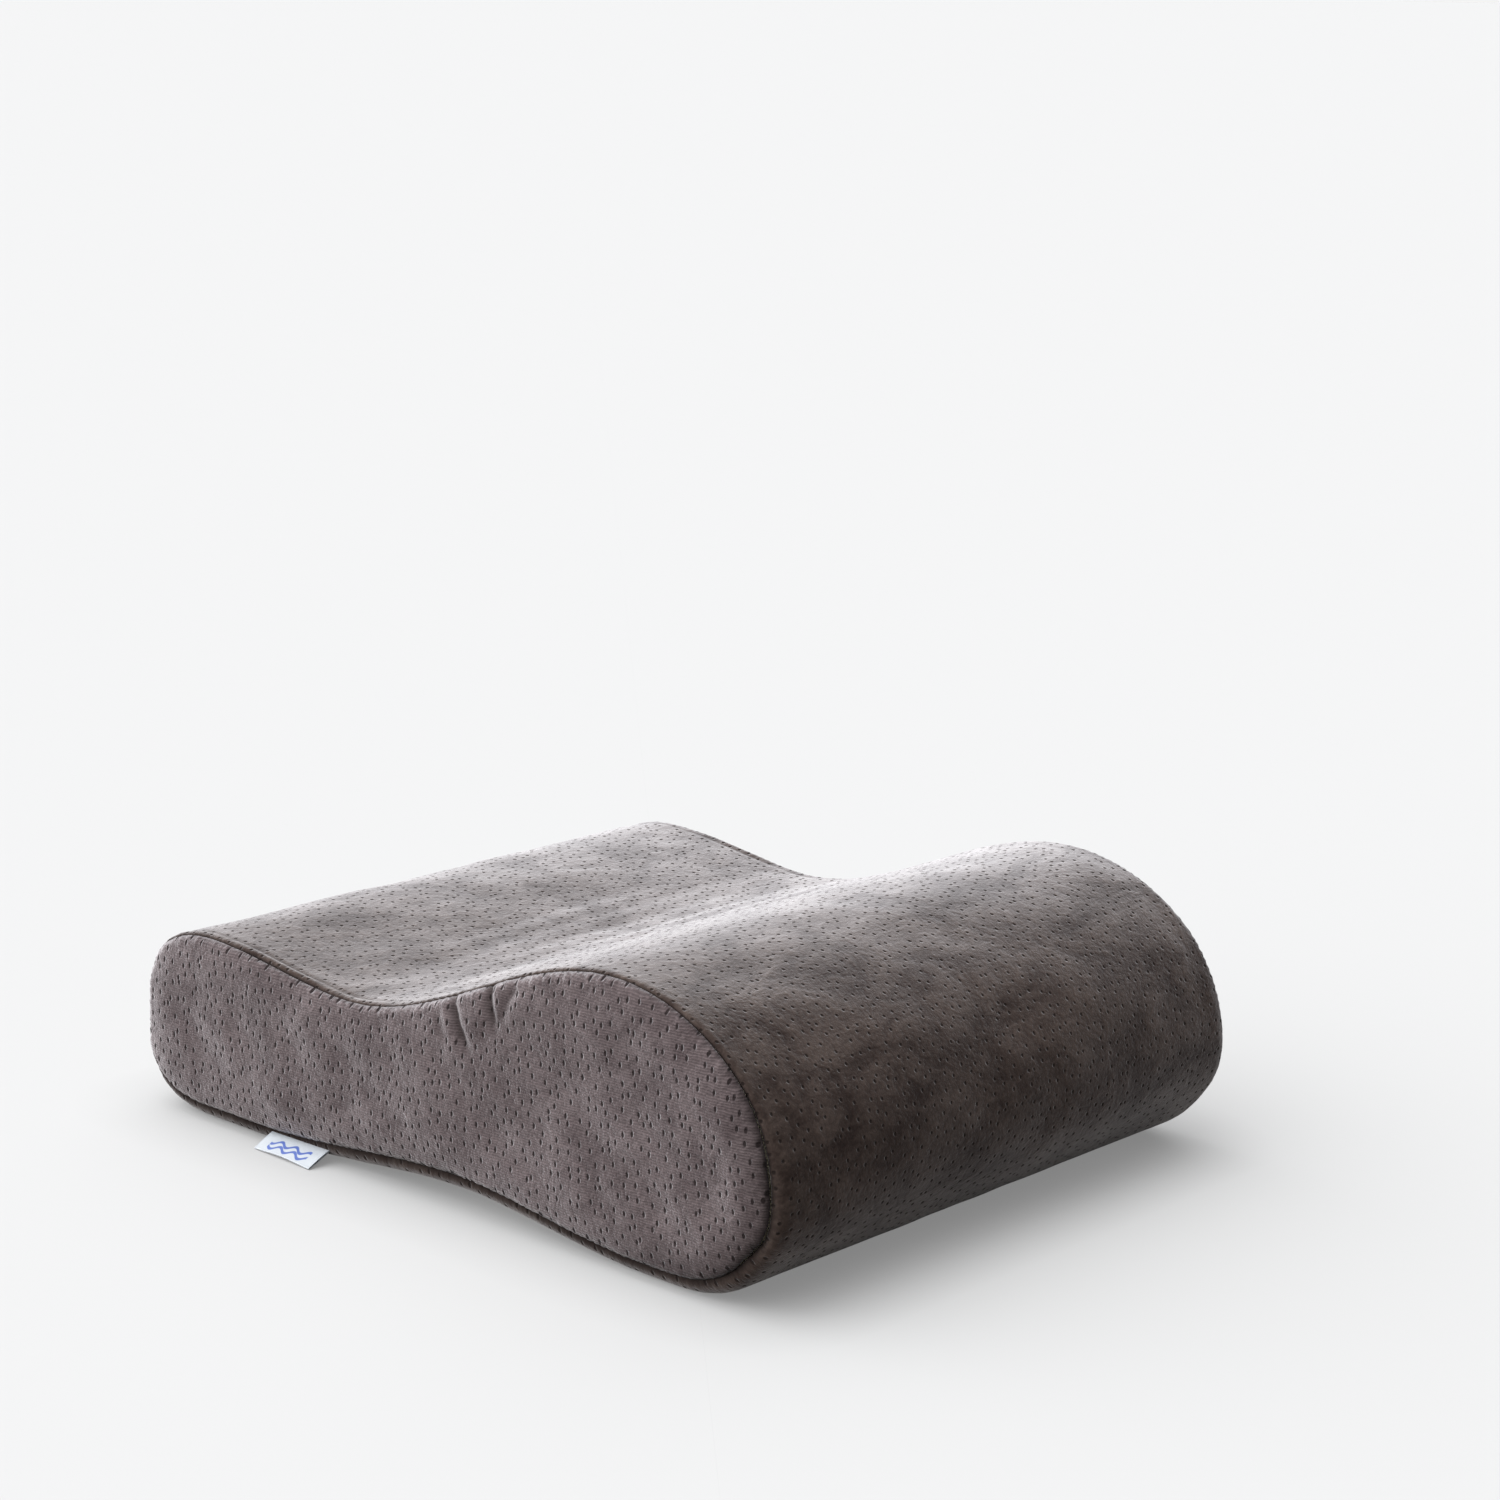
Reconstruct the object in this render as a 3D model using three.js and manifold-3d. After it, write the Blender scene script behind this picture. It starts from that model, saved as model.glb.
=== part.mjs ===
// Camp pillow: a one-piece contoured foam block in a removable velour cover with a zip.
// Millimetres. X runs along the two lobes, -Y faces the high lobe, +Y the low lobe, +Z is up.
// The origin is the middle of the base.
import * as THREE from 'three';
import { mergeVertices } from 'three/addons/utils/BufferGeometryUtils.js';
import Module from 'manifold-3d';

const wasm = await Module();
wasm.setup();

// ---- Overall sizes
const WIDTH = 250; // over the two crowned end panels
const DEPTH = 310; // front of the high lobe to back of the low lobe
const HIGH_LOBE_HEIGHT = 100;
const LOW_LOBE_HEIGHT = 71;
const DIP_HEIGHT = 64;
const UNDERSIDE_ARCH = 7; // how far the middle of the underside stands off the ground

// ---- Side profile: each place is measured in from the front or from the back
const FRONT_BULGE_HEIGHT = 38;
const FRONT_TO_HIGH_CREST = 74;
const FRONT_TO_HIGH_FOOT = 44;
const HIGH_FOOT_WIDTH = 16;
const BACK_TO_DIP = 111;
const BACK_TO_LOW_CREST = 37;
const BACK_TO_ARCH = 165;
const BACK_TO_LOW_FOOT = 32;
const LOW_FOOT_WIDTH = 34;
const BACK_FLAT_LOW = 22; // the upright strip that carries the zip
const BACK_FLAT_HIGH = 42;
const FRONT_FULLNESS = 0.53; // 0.55 is a true ellipse, and more is squarer
const BACK_FULLNESS = 0.6;
const WAVE_FULLNESS = 0.33;
const OUTLINE_STEP = 8.5;

// ---- Cover
const COVER_THICKNESS = 2.5;
const END_CROWN = 4; // how far an end panel swells past its seam
const CROWN_INSET = 17; // from the outline to the full height of that swell
const EDGE_ROUND_LENGTH = 8; // the cover tube turns in over this length
const EDGE_ROUND_INSET = 4; // and by this much at the seam
const CLEARANCE = 0.3; // between pieces that touch
const CUT_MARGIN = 1; // a cutting block stands this far past what it cuts
const THREAD_RADIUS = 0.4;
const SEAM_THREAD_INSET = 3.2;

// ---- Zip, sizes across the pillow's back
const END_TO_SLOT = 20; // from each end of the pillow to the zip's slot
const SLIDER_SIDE_ROOM = 0.4; // between the slider's nose and the slot's edge
const HEM_DEPTH = 3.8; // cover cloth folded double beside the slot
const TAPE_WIDTH = 9;
const TAPE_THICKNESS = 0.7;
const TAPE_OVERLAP = 7; // past each end of the slot
const TAPE_GAP = 2; // between the two tapes
const TOOTH_PITCH = 2.5;
const TOOTH_REACH = 1.1;
const TOOTH_LENGTH = 1.3;
const TOOTH_CORD = 0.9; // the strip that carries a row's teeth
const TOOTH_THICKNESS = 1.2;
const TOOTH_GAP = 1.5; // between the tips of the two rows
const STOP_LENGTH = 2.5;
const STOP_THICKNESS = 2;
const STOP_FROM_SLOT_END = 2.5;
const PULL_END_ROOM = 3.5; // extra slot past the bottom stop
const STITCH_OFFSET = 7.2; // from the zip's middle line
const BARTACK_LENGTH = 3;
const BARTACK_HEIGHT = 16;

// ---- Zip slider and pull
const SLIDER_LENGTH = 11;
const NOSE_FLARE = 0.9; // the nose is this much wider than the tail
const PLATE_THICKNESS = 0.8;
const LIP_WIDTH = 0.6;
const POST_LENGTH = 2;
const POST_WIDTH = 0.8;
const BRIDGE_SPAN = 6;
const BRIDGE_WIDTH = 1.6;
const BRIDGE_THICKNESS = 0.7;
const PULL_LENGTH = 14;
const PULL_WIDTH = 5.6;
const PULL_THICKNESS = 0.8;
const PULL_ARM_WIDTH = 1.2;
const PULL_WINDOW = 4.2; // from the pull's axis to the end of its window
const PULL_BAR_RADIUS = 0.4;

// ---- Side label
const LABEL_WIDTH = 30;
const LABEL_REACH = 6.4;
const LABEL_DROP = 2.2;
const LABEL_THICKNESS = 1.1;
const BACK_TO_LABEL = 85;

// ---- Places worked out from the sizes
const FRONT = -DEPTH / 2;
const BACK = DEPTH / 2;
const SEAM_X = WIDTH / 2 - END_CROWN;
const STRAIGHT_X = SEAM_X - EDGE_ROUND_LENGTH;
const PANEL_RIM_X = SEAM_X + CLEARANCE;
const PANEL_RISE = WIDTH / 2 - PANEL_RIM_X;
const SLOT_LENGTH = WIDTH - 2 * END_TO_SLOT;
const ZIP_Z = (BACK_FLAT_LOW + BACK_FLAT_HIGH) / 2;
const TOOTH_ROOT = TOOTH_GAP / 2 + TOOTH_REACH + TOOTH_CORD;
const SLIDER_TAIL_WIDTH = 2 * (TOOTH_ROOT + CLEARANCE + LIP_WIDTH);
const SLIDER_NOSE_WIDTH = SLIDER_TAIL_WIDTH + NOSE_FLARE;
const SLOT_HEIGHT = SLIDER_NOSE_WIDTH + 2 * SLIDER_SIDE_ROOM;
const HEM_Y = BACK - HEM_DEPTH;
const TAPE_OUTER_Y = HEM_Y - CLEARANCE;
const TAPE_INNER_Y = TAPE_OUTER_Y - TAPE_THICKNESS;
const TEETH_INNER_Y = TAPE_OUTER_Y + CLEARANCE;
const TEETH_OUTER_Y = TEETH_INNER_Y + TOOTH_THICKNESS;
const TOP_PLATE_Y = TEETH_OUTER_Y + CLEARANCE;
const BOTTOM_PLATE_Y = TAPE_INNER_Y - CLEARANCE - PLATE_THICKNESS;
const PULL_AXIS_Y = TOP_PLATE_Y + PLATE_THICKNESS + CLEARANCE + PULL_THICKNESS / 2;
const BRIDGE_Y = PULL_AXIS_Y + PULL_THICKNESS / 2 + CLEARANCE;
const RELIEF_Y = BOTTOM_PLATE_Y - 2 * CLEARANCE;
const TOP_STOP_X = SLOT_LENGTH / 2 - STOP_FROM_SLOT_END - STOP_LENGTH;
const BOTTOM_STOP_X = -SLOT_LENGTH / 2 + STOP_FROM_SLOT_END + PULL_END_ROOM;
const SLIDER_X = TOP_STOP_X - CLEARANCE - SLIDER_LENGTH / 2;

// ---- Materials
function cloth(color) {
  return new THREE.MeshStandardMaterial({ color, roughness: 0.95, metalness: 0 });
}

const velour = cloth(0x6f6864);
const endVelour = cloth(0x676260);
const foamMaterial = new THREE.MeshStandardMaterial({ color: 0xe6dfcf, roughness: 0.9 });
const threadMaterial = cloth(0x4c4643);
const tapeMaterial = cloth(0x59524f);
const toothMaterial = new THREE.MeshStandardMaterial({ color: 0x5d5653, roughness: 0.5 });
const stopMetal = new THREE.MeshStandardMaterial({ color: 0x8d8a86, roughness: 0.35, metalness: 1 });
const sliderMetal = new THREE.MeshStandardMaterial({ color: 0x77736f, roughness: 0.4, metalness: 1 });
const labelMaterial = cloth(0xf0efec);

// ---- Outline of the pillow's side, in the Y-Z plane, anticlockwise seen from +X

// A quarter turn between a level tangent and an upright one.
function corner(path, from, to, fullness, startsLevel) {
  const across = (to.x - from.x) * fullness;
  const up = (to.y - from.y) * fullness;
  if (startsLevel) path.bezierCurveTo(from.x + across, from.y, to.x, to.y - up, to.x, to.y);
  else path.bezierCurveTo(from.x, from.y + up, to.x - across, to.y, to.x, to.y);
}

// A gentle rise or fall between two level tangents.
function wave(path, from, to) {
  const across = (to.x - from.x) * WAVE_FULLNESS;
  path.bezierCurveTo(from.x + across, from.y, to.x - across, to.y, to.x, to.y);
}

function sidePath() {
  const highCrest = new THREE.Vector2(FRONT + FRONT_TO_HIGH_CREST, HIGH_LOBE_HEIGHT);
  const bulge = new THREE.Vector2(FRONT, FRONT_BULGE_HEIGHT);
  const highFoot = new THREE.Vector2(FRONT + FRONT_TO_HIGH_FOOT, 0);
  const highFootEnd = new THREE.Vector2(highFoot.x + HIGH_FOOT_WIDTH, 0);
  const arch = new THREE.Vector2(BACK - BACK_TO_ARCH, UNDERSIDE_ARCH);
  const lowFoot = new THREE.Vector2(BACK - BACK_TO_LOW_FOOT, 0);
  const lowFootStart = new THREE.Vector2(lowFoot.x - LOW_FOOT_WIDTH, 0);
  const backLow = new THREE.Vector2(BACK, BACK_FLAT_LOW);
  const backHigh = new THREE.Vector2(BACK, BACK_FLAT_HIGH);
  const lowCrest = new THREE.Vector2(BACK - BACK_TO_LOW_CREST, LOW_LOBE_HEIGHT);
  const dip = new THREE.Vector2(BACK - BACK_TO_DIP, DIP_HEIGHT);
  const path = new THREE.Path();
  path.moveTo(highCrest.x, highCrest.y);
  corner(path, highCrest, bulge, FRONT_FULLNESS, true);
  corner(path, bulge, highFoot, FRONT_FULLNESS, false);
  path.lineTo(highFootEnd.x, highFootEnd.y);
  wave(path, highFootEnd, arch);
  wave(path, arch, lowFootStart);
  path.lineTo(lowFoot.x, lowFoot.y);
  corner(path, lowFoot, backLow, BACK_FULLNESS, true);
  path.lineTo(backHigh.x, backHigh.y);
  corner(path, backHigh, lowCrest, BACK_FULLNESS, false);
  wave(path, lowCrest, dip);
  wave(path, dip, highCrest);
  return path;
}

function samplePath(path) {
  const points = [];
  for (const curve of path.curves) {
    const steps = Math.max(1, Math.round(curve.getLength() / OUTLINE_STEP));
    for (let i = 0; i < steps; i += 1) points.push(curve.getPointAt(i / steps));
  }
  return points;
}

const outline = samplePath(sidePath());

const inwardNormals = outline.map((point, i) => {
  const before = outline[(i + outline.length - 1) % outline.length];
  const after = outline[(i + 1) % outline.length];
  const along = after.clone().sub(before).normalize();
  return new THREE.Vector2(-along.y, along.x);
});

function ring({ x, inset }) {
  return outline.map((point, i) => {
    const moved = point.clone().addScaledVector(inwardNormals[i], inset);
    return new THREE.Vector3(x, moved.x, moved.y);
  });
}

// ---- Solids

// Joins rings of equal count. With closed, the last ring meets the first one, as in a tube's
// wall; otherwise both ends are capped.
function loft(rings, closed) {
  const count = rings[0].length;
  const positions = rings.flat().flatMap((p) => [p.x, p.y, p.z]);
  const triangles = [];
  const spans = closed ? rings.length : rings.length - 1;
  for (let i = 0; i < spans; i += 1) {
    const here = i * count;
    const next = ((i + 1) % rings.length) * count;
    for (let j = 0; j < count; j += 1) {
      const k = (j + 1) % count;
      triangles.push(here + j, here + k, next + k, here + j, next + k, next + j);
    }
  }
  if (!closed) {
    const flat = rings[0].map((p) => new THREE.Vector2(p.y, p.z));
    for (const [a, b, c] of THREE.ShapeUtils.triangulateShape(flat, [])) {
      triangles.push(a, c, b);
    }
    const last = rings.length - 1;
    const end = rings[last].map((p) => new THREE.Vector2(p.y, p.z));
    for (const [a, b, c] of THREE.ShapeUtils.triangulateShape(end, [])) {
      triangles.push(last * count + a, last * count + b, last * count + c);
    }
  }
  const geometry = new THREE.BufferGeometry();
  geometry.setAttribute('position', new THREE.Float32BufferAttribute(positions, 3));
  geometry.setIndex(triangles);
  return geometry;
}

function loftStations(stations, closed = false) {
  return loft(stations.map(ring), closed);
}

// The same stations at the -X end.
function mirrored(stations) {
  return stations.map(({ x, inset }) => ({ x: -x, inset })).reverse();
}

function box(xLow, xHigh, yLow, yHigh, zLow, zHigh) {
  const geometry = new THREE.BoxGeometry(xHigh - xLow, yHigh - yLow, zHigh - zLow);
  geometry.translate((xLow + xHigh) / 2, (yLow + yHigh) / 2, (zLow + zHigh) / 2);
  return geometry;
}

// A plate whose shape is drawn in X-Z and which is thickness deep, starting at y.
function plate(shape, y, thickness) {
  const geometry = new THREE.ExtrudeGeometry(shape, {
    depth: thickness,
    bevelEnabled: false,
    curveSegments: 6,
  });
  geometry.rotateX(Math.PI / 2);
  geometry.translate(0, y + thickness, 0);
  return geometry;
}

function toSolid(geometry) {
  const bare = geometry.clone();
  bare.deleteAttribute('normal');
  bare.deleteAttribute('uv');
  const merged = mergeVertices(bare, 1e-4);
  return new wasm.Manifold(new wasm.Mesh({
    numProp: 3,
    vertProperties: new Float32Array(merged.attributes.position.array),
    triVerts: new Uint32Array(merged.index.array),
  }));
}

function fromSolid(solid) {
  const mesh = solid.getMesh();
  const geometry = new THREE.BufferGeometry();
  geometry.setAttribute('position', new THREE.Float32BufferAttribute(mesh.vertProperties, 3));
  geometry.setIndex(new THREE.BufferAttribute(mesh.triVerts, 1));
  return geometry;
}

function joined(...geometries) {
  return geometries.map(toSolid).reduce((whole, piece) => whole.add(piece));
}

// ---- Cover and foam

// The turned-in edge of the cover tube, from its straight part to the seam.
function edgeStations(extraInset, steps = 3) {
  const stations = [];
  for (let i = 0; i <= steps; i += 1) {
    const t = i / steps;
    const inset = EDGE_ROUND_INSET * t * t + extraInset;
    stations.push({ x: STRAIGHT_X + EDGE_ROUND_LENGTH * t, inset });
  }
  return stations;
}

// The swell of an end panel, from its rim inwards.
function crownStations(rimX, rimInset, rise, steps = 3) {
  const stations = [];
  for (let i = 0; i <= steps; i += 1) {
    const t = i / steps;
    const inset = rimInset + (CROWN_INSET - rimInset) * t;
    stations.push({ x: rimX + rise * (1 - (1 - t) ** 2), inset });
  }
  return stations;
}

function wrapPanel() {
  const outerEnd = edgeStations(0);
  const innerEnd = edgeStations(COVER_THICKNESS);
  const outer = [...mirrored(outerEnd), ...outerEnd];
  const inner = [...mirrored(innerEnd), ...innerEnd].reverse();
  const tube = loftStations([...outer, ...inner], true);
  const hemHalf = SLOT_LENGTH / 2 + TAPE_OVERLAP;
  const hemRoot = BACK - COVER_THICKNESS / 2;
  const hem = box(-hemHalf, hemHalf, HEM_Y, hemRoot, BACK_FLAT_LOW, BACK_FLAT_HIGH);
  const slotLow = ZIP_Z - SLOT_HEIGHT / 2;
  const slotHigh = ZIP_Z + SLOT_HEIGHT / 2;
  const slotHalf = SLOT_LENGTH / 2;
  const slotY = HEM_Y - CUT_MARGIN;
  const slot = box(-slotHalf, slotHalf, slotY, BACK + CUT_MARGIN, slotLow, slotHigh);
  return fromSolid(joined(tube, hem).subtract(toSolid(slot)));
}

function endPanel(side) {
  const rimInner = EDGE_ROUND_INSET + COVER_THICKNESS;
  const outer = crownStations(PANEL_RIM_X, EDGE_ROUND_INSET, PANEL_RISE);
  const inner = crownStations(PANEL_RIM_X, rimInner, PANEL_RISE - COVER_THICKNESS);
  const stations = [...inner.reverse(), ...outer];
  return loftStations(side > 0 ? stations : mirrored(stations));
}

function foamCore() {
  const skin = COVER_THICKNESS + CLEARANCE;
  const edge = edgeStations(skin);
  const crown = crownStations(SEAM_X, EDGE_ROUND_INSET + skin, PANEL_RISE - COVER_THICKNESS);
  const end = [...edge, ...crown.slice(1)];
  const block = loftStations([...mirrored(end), ...end]);
  const reliefHalf = SLOT_LENGTH / 2 + TAPE_OVERLAP + 2 * CLEARANCE;
  const reliefLow = BACK_FLAT_LOW - 2 * CLEARANCE;
  const reliefHigh = BACK_FLAT_HIGH + 2 * CLEARANCE;
  const relief = box(-reliefHalf, reliefHalf, RELIEF_Y, BACK, reliefLow, reliefHigh);
  return fromSolid(toSolid(block).subtract(toSolid(relief)));
}

// A line of thread that follows the seam all the way round one end.
function seamThread(side) {
  const sides = 6;
  const stations = [];
  for (let i = 0; i < sides; i += 1) {
    const angle = (2 * Math.PI * i) / sides;
    const x = side * PANEL_RIM_X + THREAD_RADIUS * Math.sin(angle);
    stations.push({ x, inset: SEAM_THREAD_INSET - THREAD_RADIUS * Math.cos(angle) });
  }
  return loftStations(stations, true);
}

// ---- Zip

function zipTape(side) {
  const half = SLOT_LENGTH / 2 + TAPE_OVERLAP;
  const near = ZIP_Z + (side * TAPE_GAP) / 2;
  const far = near + side * TAPE_WIDTH;
  return box(-half, half, TAPE_INNER_Y, TAPE_OUTER_Y, Math.min(near, far), Math.max(near, far));
}

// A row of teeth on its cord. The two rows' teeth are half a pitch apart.
function zipTeeth(side) {
  const start = BOTTOM_STOP_X + STOP_LENGTH + CLEARANCE;
  const end = TOP_STOP_X - CLEARANCE;
  const tip = TOOTH_GAP / 2;
  const root = tip + TOOTH_REACH;
  const first = start + (side > 0 ? TOOTH_PITCH / 2 : CLEARANCE);
  const shape = new THREE.Shape();
  shape.moveTo(start, root + TOOTH_CORD);
  shape.lineTo(start, root);
  for (let x = first; x + TOOTH_LENGTH < end; x += TOOTH_PITCH) {
    shape.lineTo(x, root);
    shape.lineTo(x, tip);
    shape.lineTo(x + TOOTH_LENGTH, tip);
    shape.lineTo(x + TOOTH_LENGTH, root);
  }
  shape.lineTo(end, root);
  shape.lineTo(end, root + TOOTH_CORD);
  const row = new THREE.ExtrudeGeometry(shape, { depth: TOOTH_THICKNESS, bevelEnabled: false });
  row.rotateX(side > 0 ? Math.PI / 2 : -Math.PI / 2);
  row.translate(0, side > 0 ? TEETH_OUTER_Y : TEETH_INNER_Y, ZIP_Z);
  return row;
}

function zipStop(x, zLow, zHigh) {
  const outerY = TEETH_INNER_Y + STOP_THICKNESS;
  return box(x, x + STOP_LENGTH, TEETH_INNER_Y, outerY, ZIP_Z + zLow, ZIP_Z + zHigh);
}

function zipStitch(side) {
  const half = SLOT_LENGTH / 2 - CLEARANCE;
  const line = new THREE.CylinderGeometry(THREAD_RADIUS, THREAD_RADIUS, 2 * half, 8);
  line.rotateZ(Math.PI / 2);
  const y = TAPE_INNER_Y - CLEARANCE - THREAD_RADIUS;
  line.translate(0, y, ZIP_Z + side * STITCH_OFFSET);
  return line;
}

function zipBartack(side) {
  const near = SLOT_LENGTH / 2 + CLEARANCE;
  const low = side > 0 ? near : -near - BARTACK_LENGTH;
  const innerY = TAPE_INNER_Y - CLEARANCE - 2 * THREAD_RADIUS;
  const half = BARTACK_HEIGHT / 2;
  return box(low, low + BARTACK_LENGTH, innerY, TAPE_INNER_Y - CLEARANCE, ZIP_Z - half, ZIP_Z + half);
}

// The slider's plate, wide at the nose (+X) and narrow at the tail.
function sliderOutline() {
  const half = SLIDER_LENGTH / 2;
  const nose = SLIDER_NOSE_WIDTH / 2;
  const tail = SLIDER_TAIL_WIDTH / 2;
  const shape = new THREE.Shape();
  shape.moveTo(-half, -tail);
  shape.lineTo(0, -tail);
  shape.lineTo(half / 2, -nose);
  shape.quadraticCurveTo(half, -nose, half, -nose / 2);
  shape.lineTo(half, nose / 2);
  shape.quadraticCurveTo(half, nose, half / 2, nose);
  shape.lineTo(0, tail);
  shape.lineTo(-half, tail);
  return shape;
}

function zipSlider() {
  const half = SLIDER_LENGTH / 2;
  const tail = SLIDER_TAIL_WIDTH / 2;
  const topPlate = plate(sliderOutline(), TOP_PLATE_Y, PLATE_THICKNESS);
  const bottomPlate = plate(sliderOutline(), BOTTOM_PLATE_Y, PLATE_THICKNESS);
  const postEnd = half - CLEARANCE;
  const postStart = postEnd - POST_LENGTH;
  const postHalf = POST_WIDTH / 2;
  const plateTop = TOP_PLATE_Y + PLATE_THICKNESS;
  const post = box(postStart, postEnd, BOTTOM_PLATE_Y, plateTop, -postHalf, postHalf);
  const lipY = TAPE_OUTER_Y + CLEARANCE;
  const lipRoot = TOP_PLATE_Y + PLATE_THICKNESS / 2;
  const lowerLip = box(-half, 0, lipY, lipRoot, -tail, -tail + LIP_WIDTH);
  const upperLip = box(-half, 0, lipY, lipRoot, tail - LIP_WIDTH, tail);
  const reach = BRIDGE_SPAN / 2;
  const bridgeTop = BRIDGE_Y + BRIDGE_THICKNESS;
  const wide = BRIDGE_WIDTH / 2;
  const strap = box(-reach, reach, BRIDGE_Y, bridgeTop, -wide, wide);
  const legRoot = plateTop - PLATE_THICKNESS / 2;
  const rearLeg = box(-reach, -reach + BRIDGE_THICKNESS, legRoot, bridgeTop, -wide, wide);
  const frontLeg = box(reach - BRIDGE_THICKNESS, reach, legRoot, bridgeTop, -wide, wide);
  const whole = joined(topPlate, bottomPlate, post, lowerLip, upperLip, strap, rearLeg, frontLeg);
  return fromSolid(whole);
}

// The pull turns on its round bar, under the slider's bridge. At rest it points to -X.
function zipPull() {
  const half = PULL_WIDTH / 2;
  const inner = half - PULL_ARM_WIDTH;
  const nose = half / 2;
  const tab = new THREE.Shape();
  tab.moveTo(0, -half);
  tab.lineTo(0, half);
  tab.lineTo(-PULL_LENGTH + nose, half);
  tab.quadraticCurveTo(-PULL_LENGTH, half, -PULL_LENGTH, 0);
  tab.quadraticCurveTo(-PULL_LENGTH, -half, -PULL_LENGTH + nose, -half);
  const tabSolid = toSolid(plate(tab, -PULL_THICKNESS / 2, PULL_THICKNESS));
  const cut = PULL_THICKNESS + CUT_MARGIN;
  const window = toSolid(box(-PULL_WINDOW, CUT_MARGIN, -cut, cut, -inner, inner));
  const bar = new THREE.CylinderGeometry(PULL_BAR_RADIUS, PULL_BAR_RADIUS, PULL_WIDTH, 12);
  bar.rotateX(Math.PI / 2);
  return fromSolid(tabSolid.subtract(window).add(toSolid(bar)));
}

// ---- Side label: a folded loop caught in the bottom of the left seam
function sideLabel() {
  const shape = new THREE.Shape();
  const rootX = -PANEL_RIM_X - THREAD_RADIUS - CLEARANCE;
  const rootZ = SEAM_THREAD_INSET;
  shape.moveTo(rootX, rootZ - LABEL_THICKNESS / 2);
  shape.lineTo(rootX, rootZ + LABEL_THICKNESS / 2);
  shape.lineTo(rootX - LABEL_REACH, rootZ - LABEL_DROP + LABEL_THICKNESS / 2);
  shape.lineTo(rootX - LABEL_REACH, rootZ - LABEL_DROP - LABEL_THICKNESS / 2);
  return plate(shape, BACK - BACK_TO_LABEL - LABEL_WIDTH / 2, LABEL_WIDTH);
}

// ---- Assembly
const pillow = new THREE.Group();

function addPiece(parent, name, geometry, material) {
  const piece = new THREE.Mesh(geometry, material);
  piece.name = name;
  parent.add(piece);
  return piece;
}

addPiece(pillow, 'foam_core', foamCore(), foamMaterial);
addPiece(pillow, 'wrap_panel', wrapPanel(), velour);
for (const [word, side] of [['left', -1], ['right', 1]]) {
  addPiece(pillow, `end_panel_${word}`, endPanel(side), endVelour);
  addPiece(pillow, `seam_thread_${word}`, seamThread(side), threadMaterial);
  addPiece(pillow, `zip_bartack_${word}`, zipBartack(side), threadMaterial);
}

for (const [word, side] of [['lower', -1], ['upper', 1]]) {
  const near = (side * TOOTH_GAP) / 2;
  const far = side * TOOTH_ROOT;
  const topStop = zipStop(TOP_STOP_X, Math.min(near, far), Math.max(near, far));
  addPiece(pillow, `zip_tape_${word}`, zipTape(side), tapeMaterial);
  addPiece(pillow, `zip_teeth_${word}`, zipTeeth(side), toothMaterial);
  addPiece(pillow, `zip_top_stop_${word}`, topStop, stopMetal);
  addPiece(pillow, `zip_stitch_${word}`, zipStitch(side), threadMaterial);
}
addPiece(pillow, 'zip_bottom_stop', zipStop(BOTTOM_STOP_X, -TOOTH_ROOT, TOOTH_ROOT), stopMetal);

const slider = addPiece(pillow, 'zip_slider', zipSlider(), sliderMetal);
slider.position.set(SLIDER_X, 0, ZIP_Z);
const pull = addPiece(pillow, 'zip_pull', zipPull(), sliderMetal);
pull.position.set(SLIDER_X, PULL_AXIS_Y, ZIP_Z);

addPiece(pillow, 'side_label', sideLabel(), labelMaterial);

export default pillow;
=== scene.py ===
# %% [markdown]
# # A contoured camp pillow
# A small pillow cut from one block of slow foam, with a high lobe, a dip and a low lobe, in a velour cover.
# The cover is sewn from three panels: a long one that wraps round the block, and one at each end.
# It comes off through a zip in the back face. Here each sewn or moulded part gets its own mesh,
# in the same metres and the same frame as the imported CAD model.

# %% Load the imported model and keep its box
import math
import bmesh
import bpy
import numpy as np
from mathutils import Matrix, Vector
from mathutils.geometry import delaunay_2d_cdt


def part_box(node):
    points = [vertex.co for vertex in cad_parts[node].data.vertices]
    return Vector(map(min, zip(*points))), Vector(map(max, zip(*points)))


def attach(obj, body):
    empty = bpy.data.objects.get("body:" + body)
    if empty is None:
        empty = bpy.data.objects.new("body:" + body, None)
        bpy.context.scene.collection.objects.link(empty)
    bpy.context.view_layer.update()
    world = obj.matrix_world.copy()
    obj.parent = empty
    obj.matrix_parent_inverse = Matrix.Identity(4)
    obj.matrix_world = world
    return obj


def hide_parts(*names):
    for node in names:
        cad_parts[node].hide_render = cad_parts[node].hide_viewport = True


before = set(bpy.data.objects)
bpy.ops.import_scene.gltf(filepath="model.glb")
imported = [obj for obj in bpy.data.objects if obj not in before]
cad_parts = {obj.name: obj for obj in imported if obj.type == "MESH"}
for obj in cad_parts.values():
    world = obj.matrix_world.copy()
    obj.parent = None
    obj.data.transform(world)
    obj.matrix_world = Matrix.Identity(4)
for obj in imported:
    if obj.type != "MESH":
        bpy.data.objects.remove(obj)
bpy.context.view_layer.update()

# %% [markdown]
# ## Small helpers for meshes and materials
# A finished piece keeps its object at the origin, with its place in its mesh, like the CAD nodes.
# These helpers put numbers from numpy into a mesh, and wire shader nodes without long-winded code.

# %% Mesh helpers
def add_object(name, data):
    thing = bpy.data.objects.new(name, data)
    bpy.context.scene.collection.objects.link(thing)
    return thing


def make_mesh(name, points, faces):
    mesh = bpy.data.meshes.new(name)
    mesh.from_pydata([tuple(p) for p in points], [], [tuple(f) for f in faces])
    mesh.validate()
    mesh.update()
    return add_object(name, mesh)


def select_only(piece):
    bpy.ops.object.select_all(action="DESELECT")
    piece.select_set(True)
    bpy.context.view_layer.objects.active = piece


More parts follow.
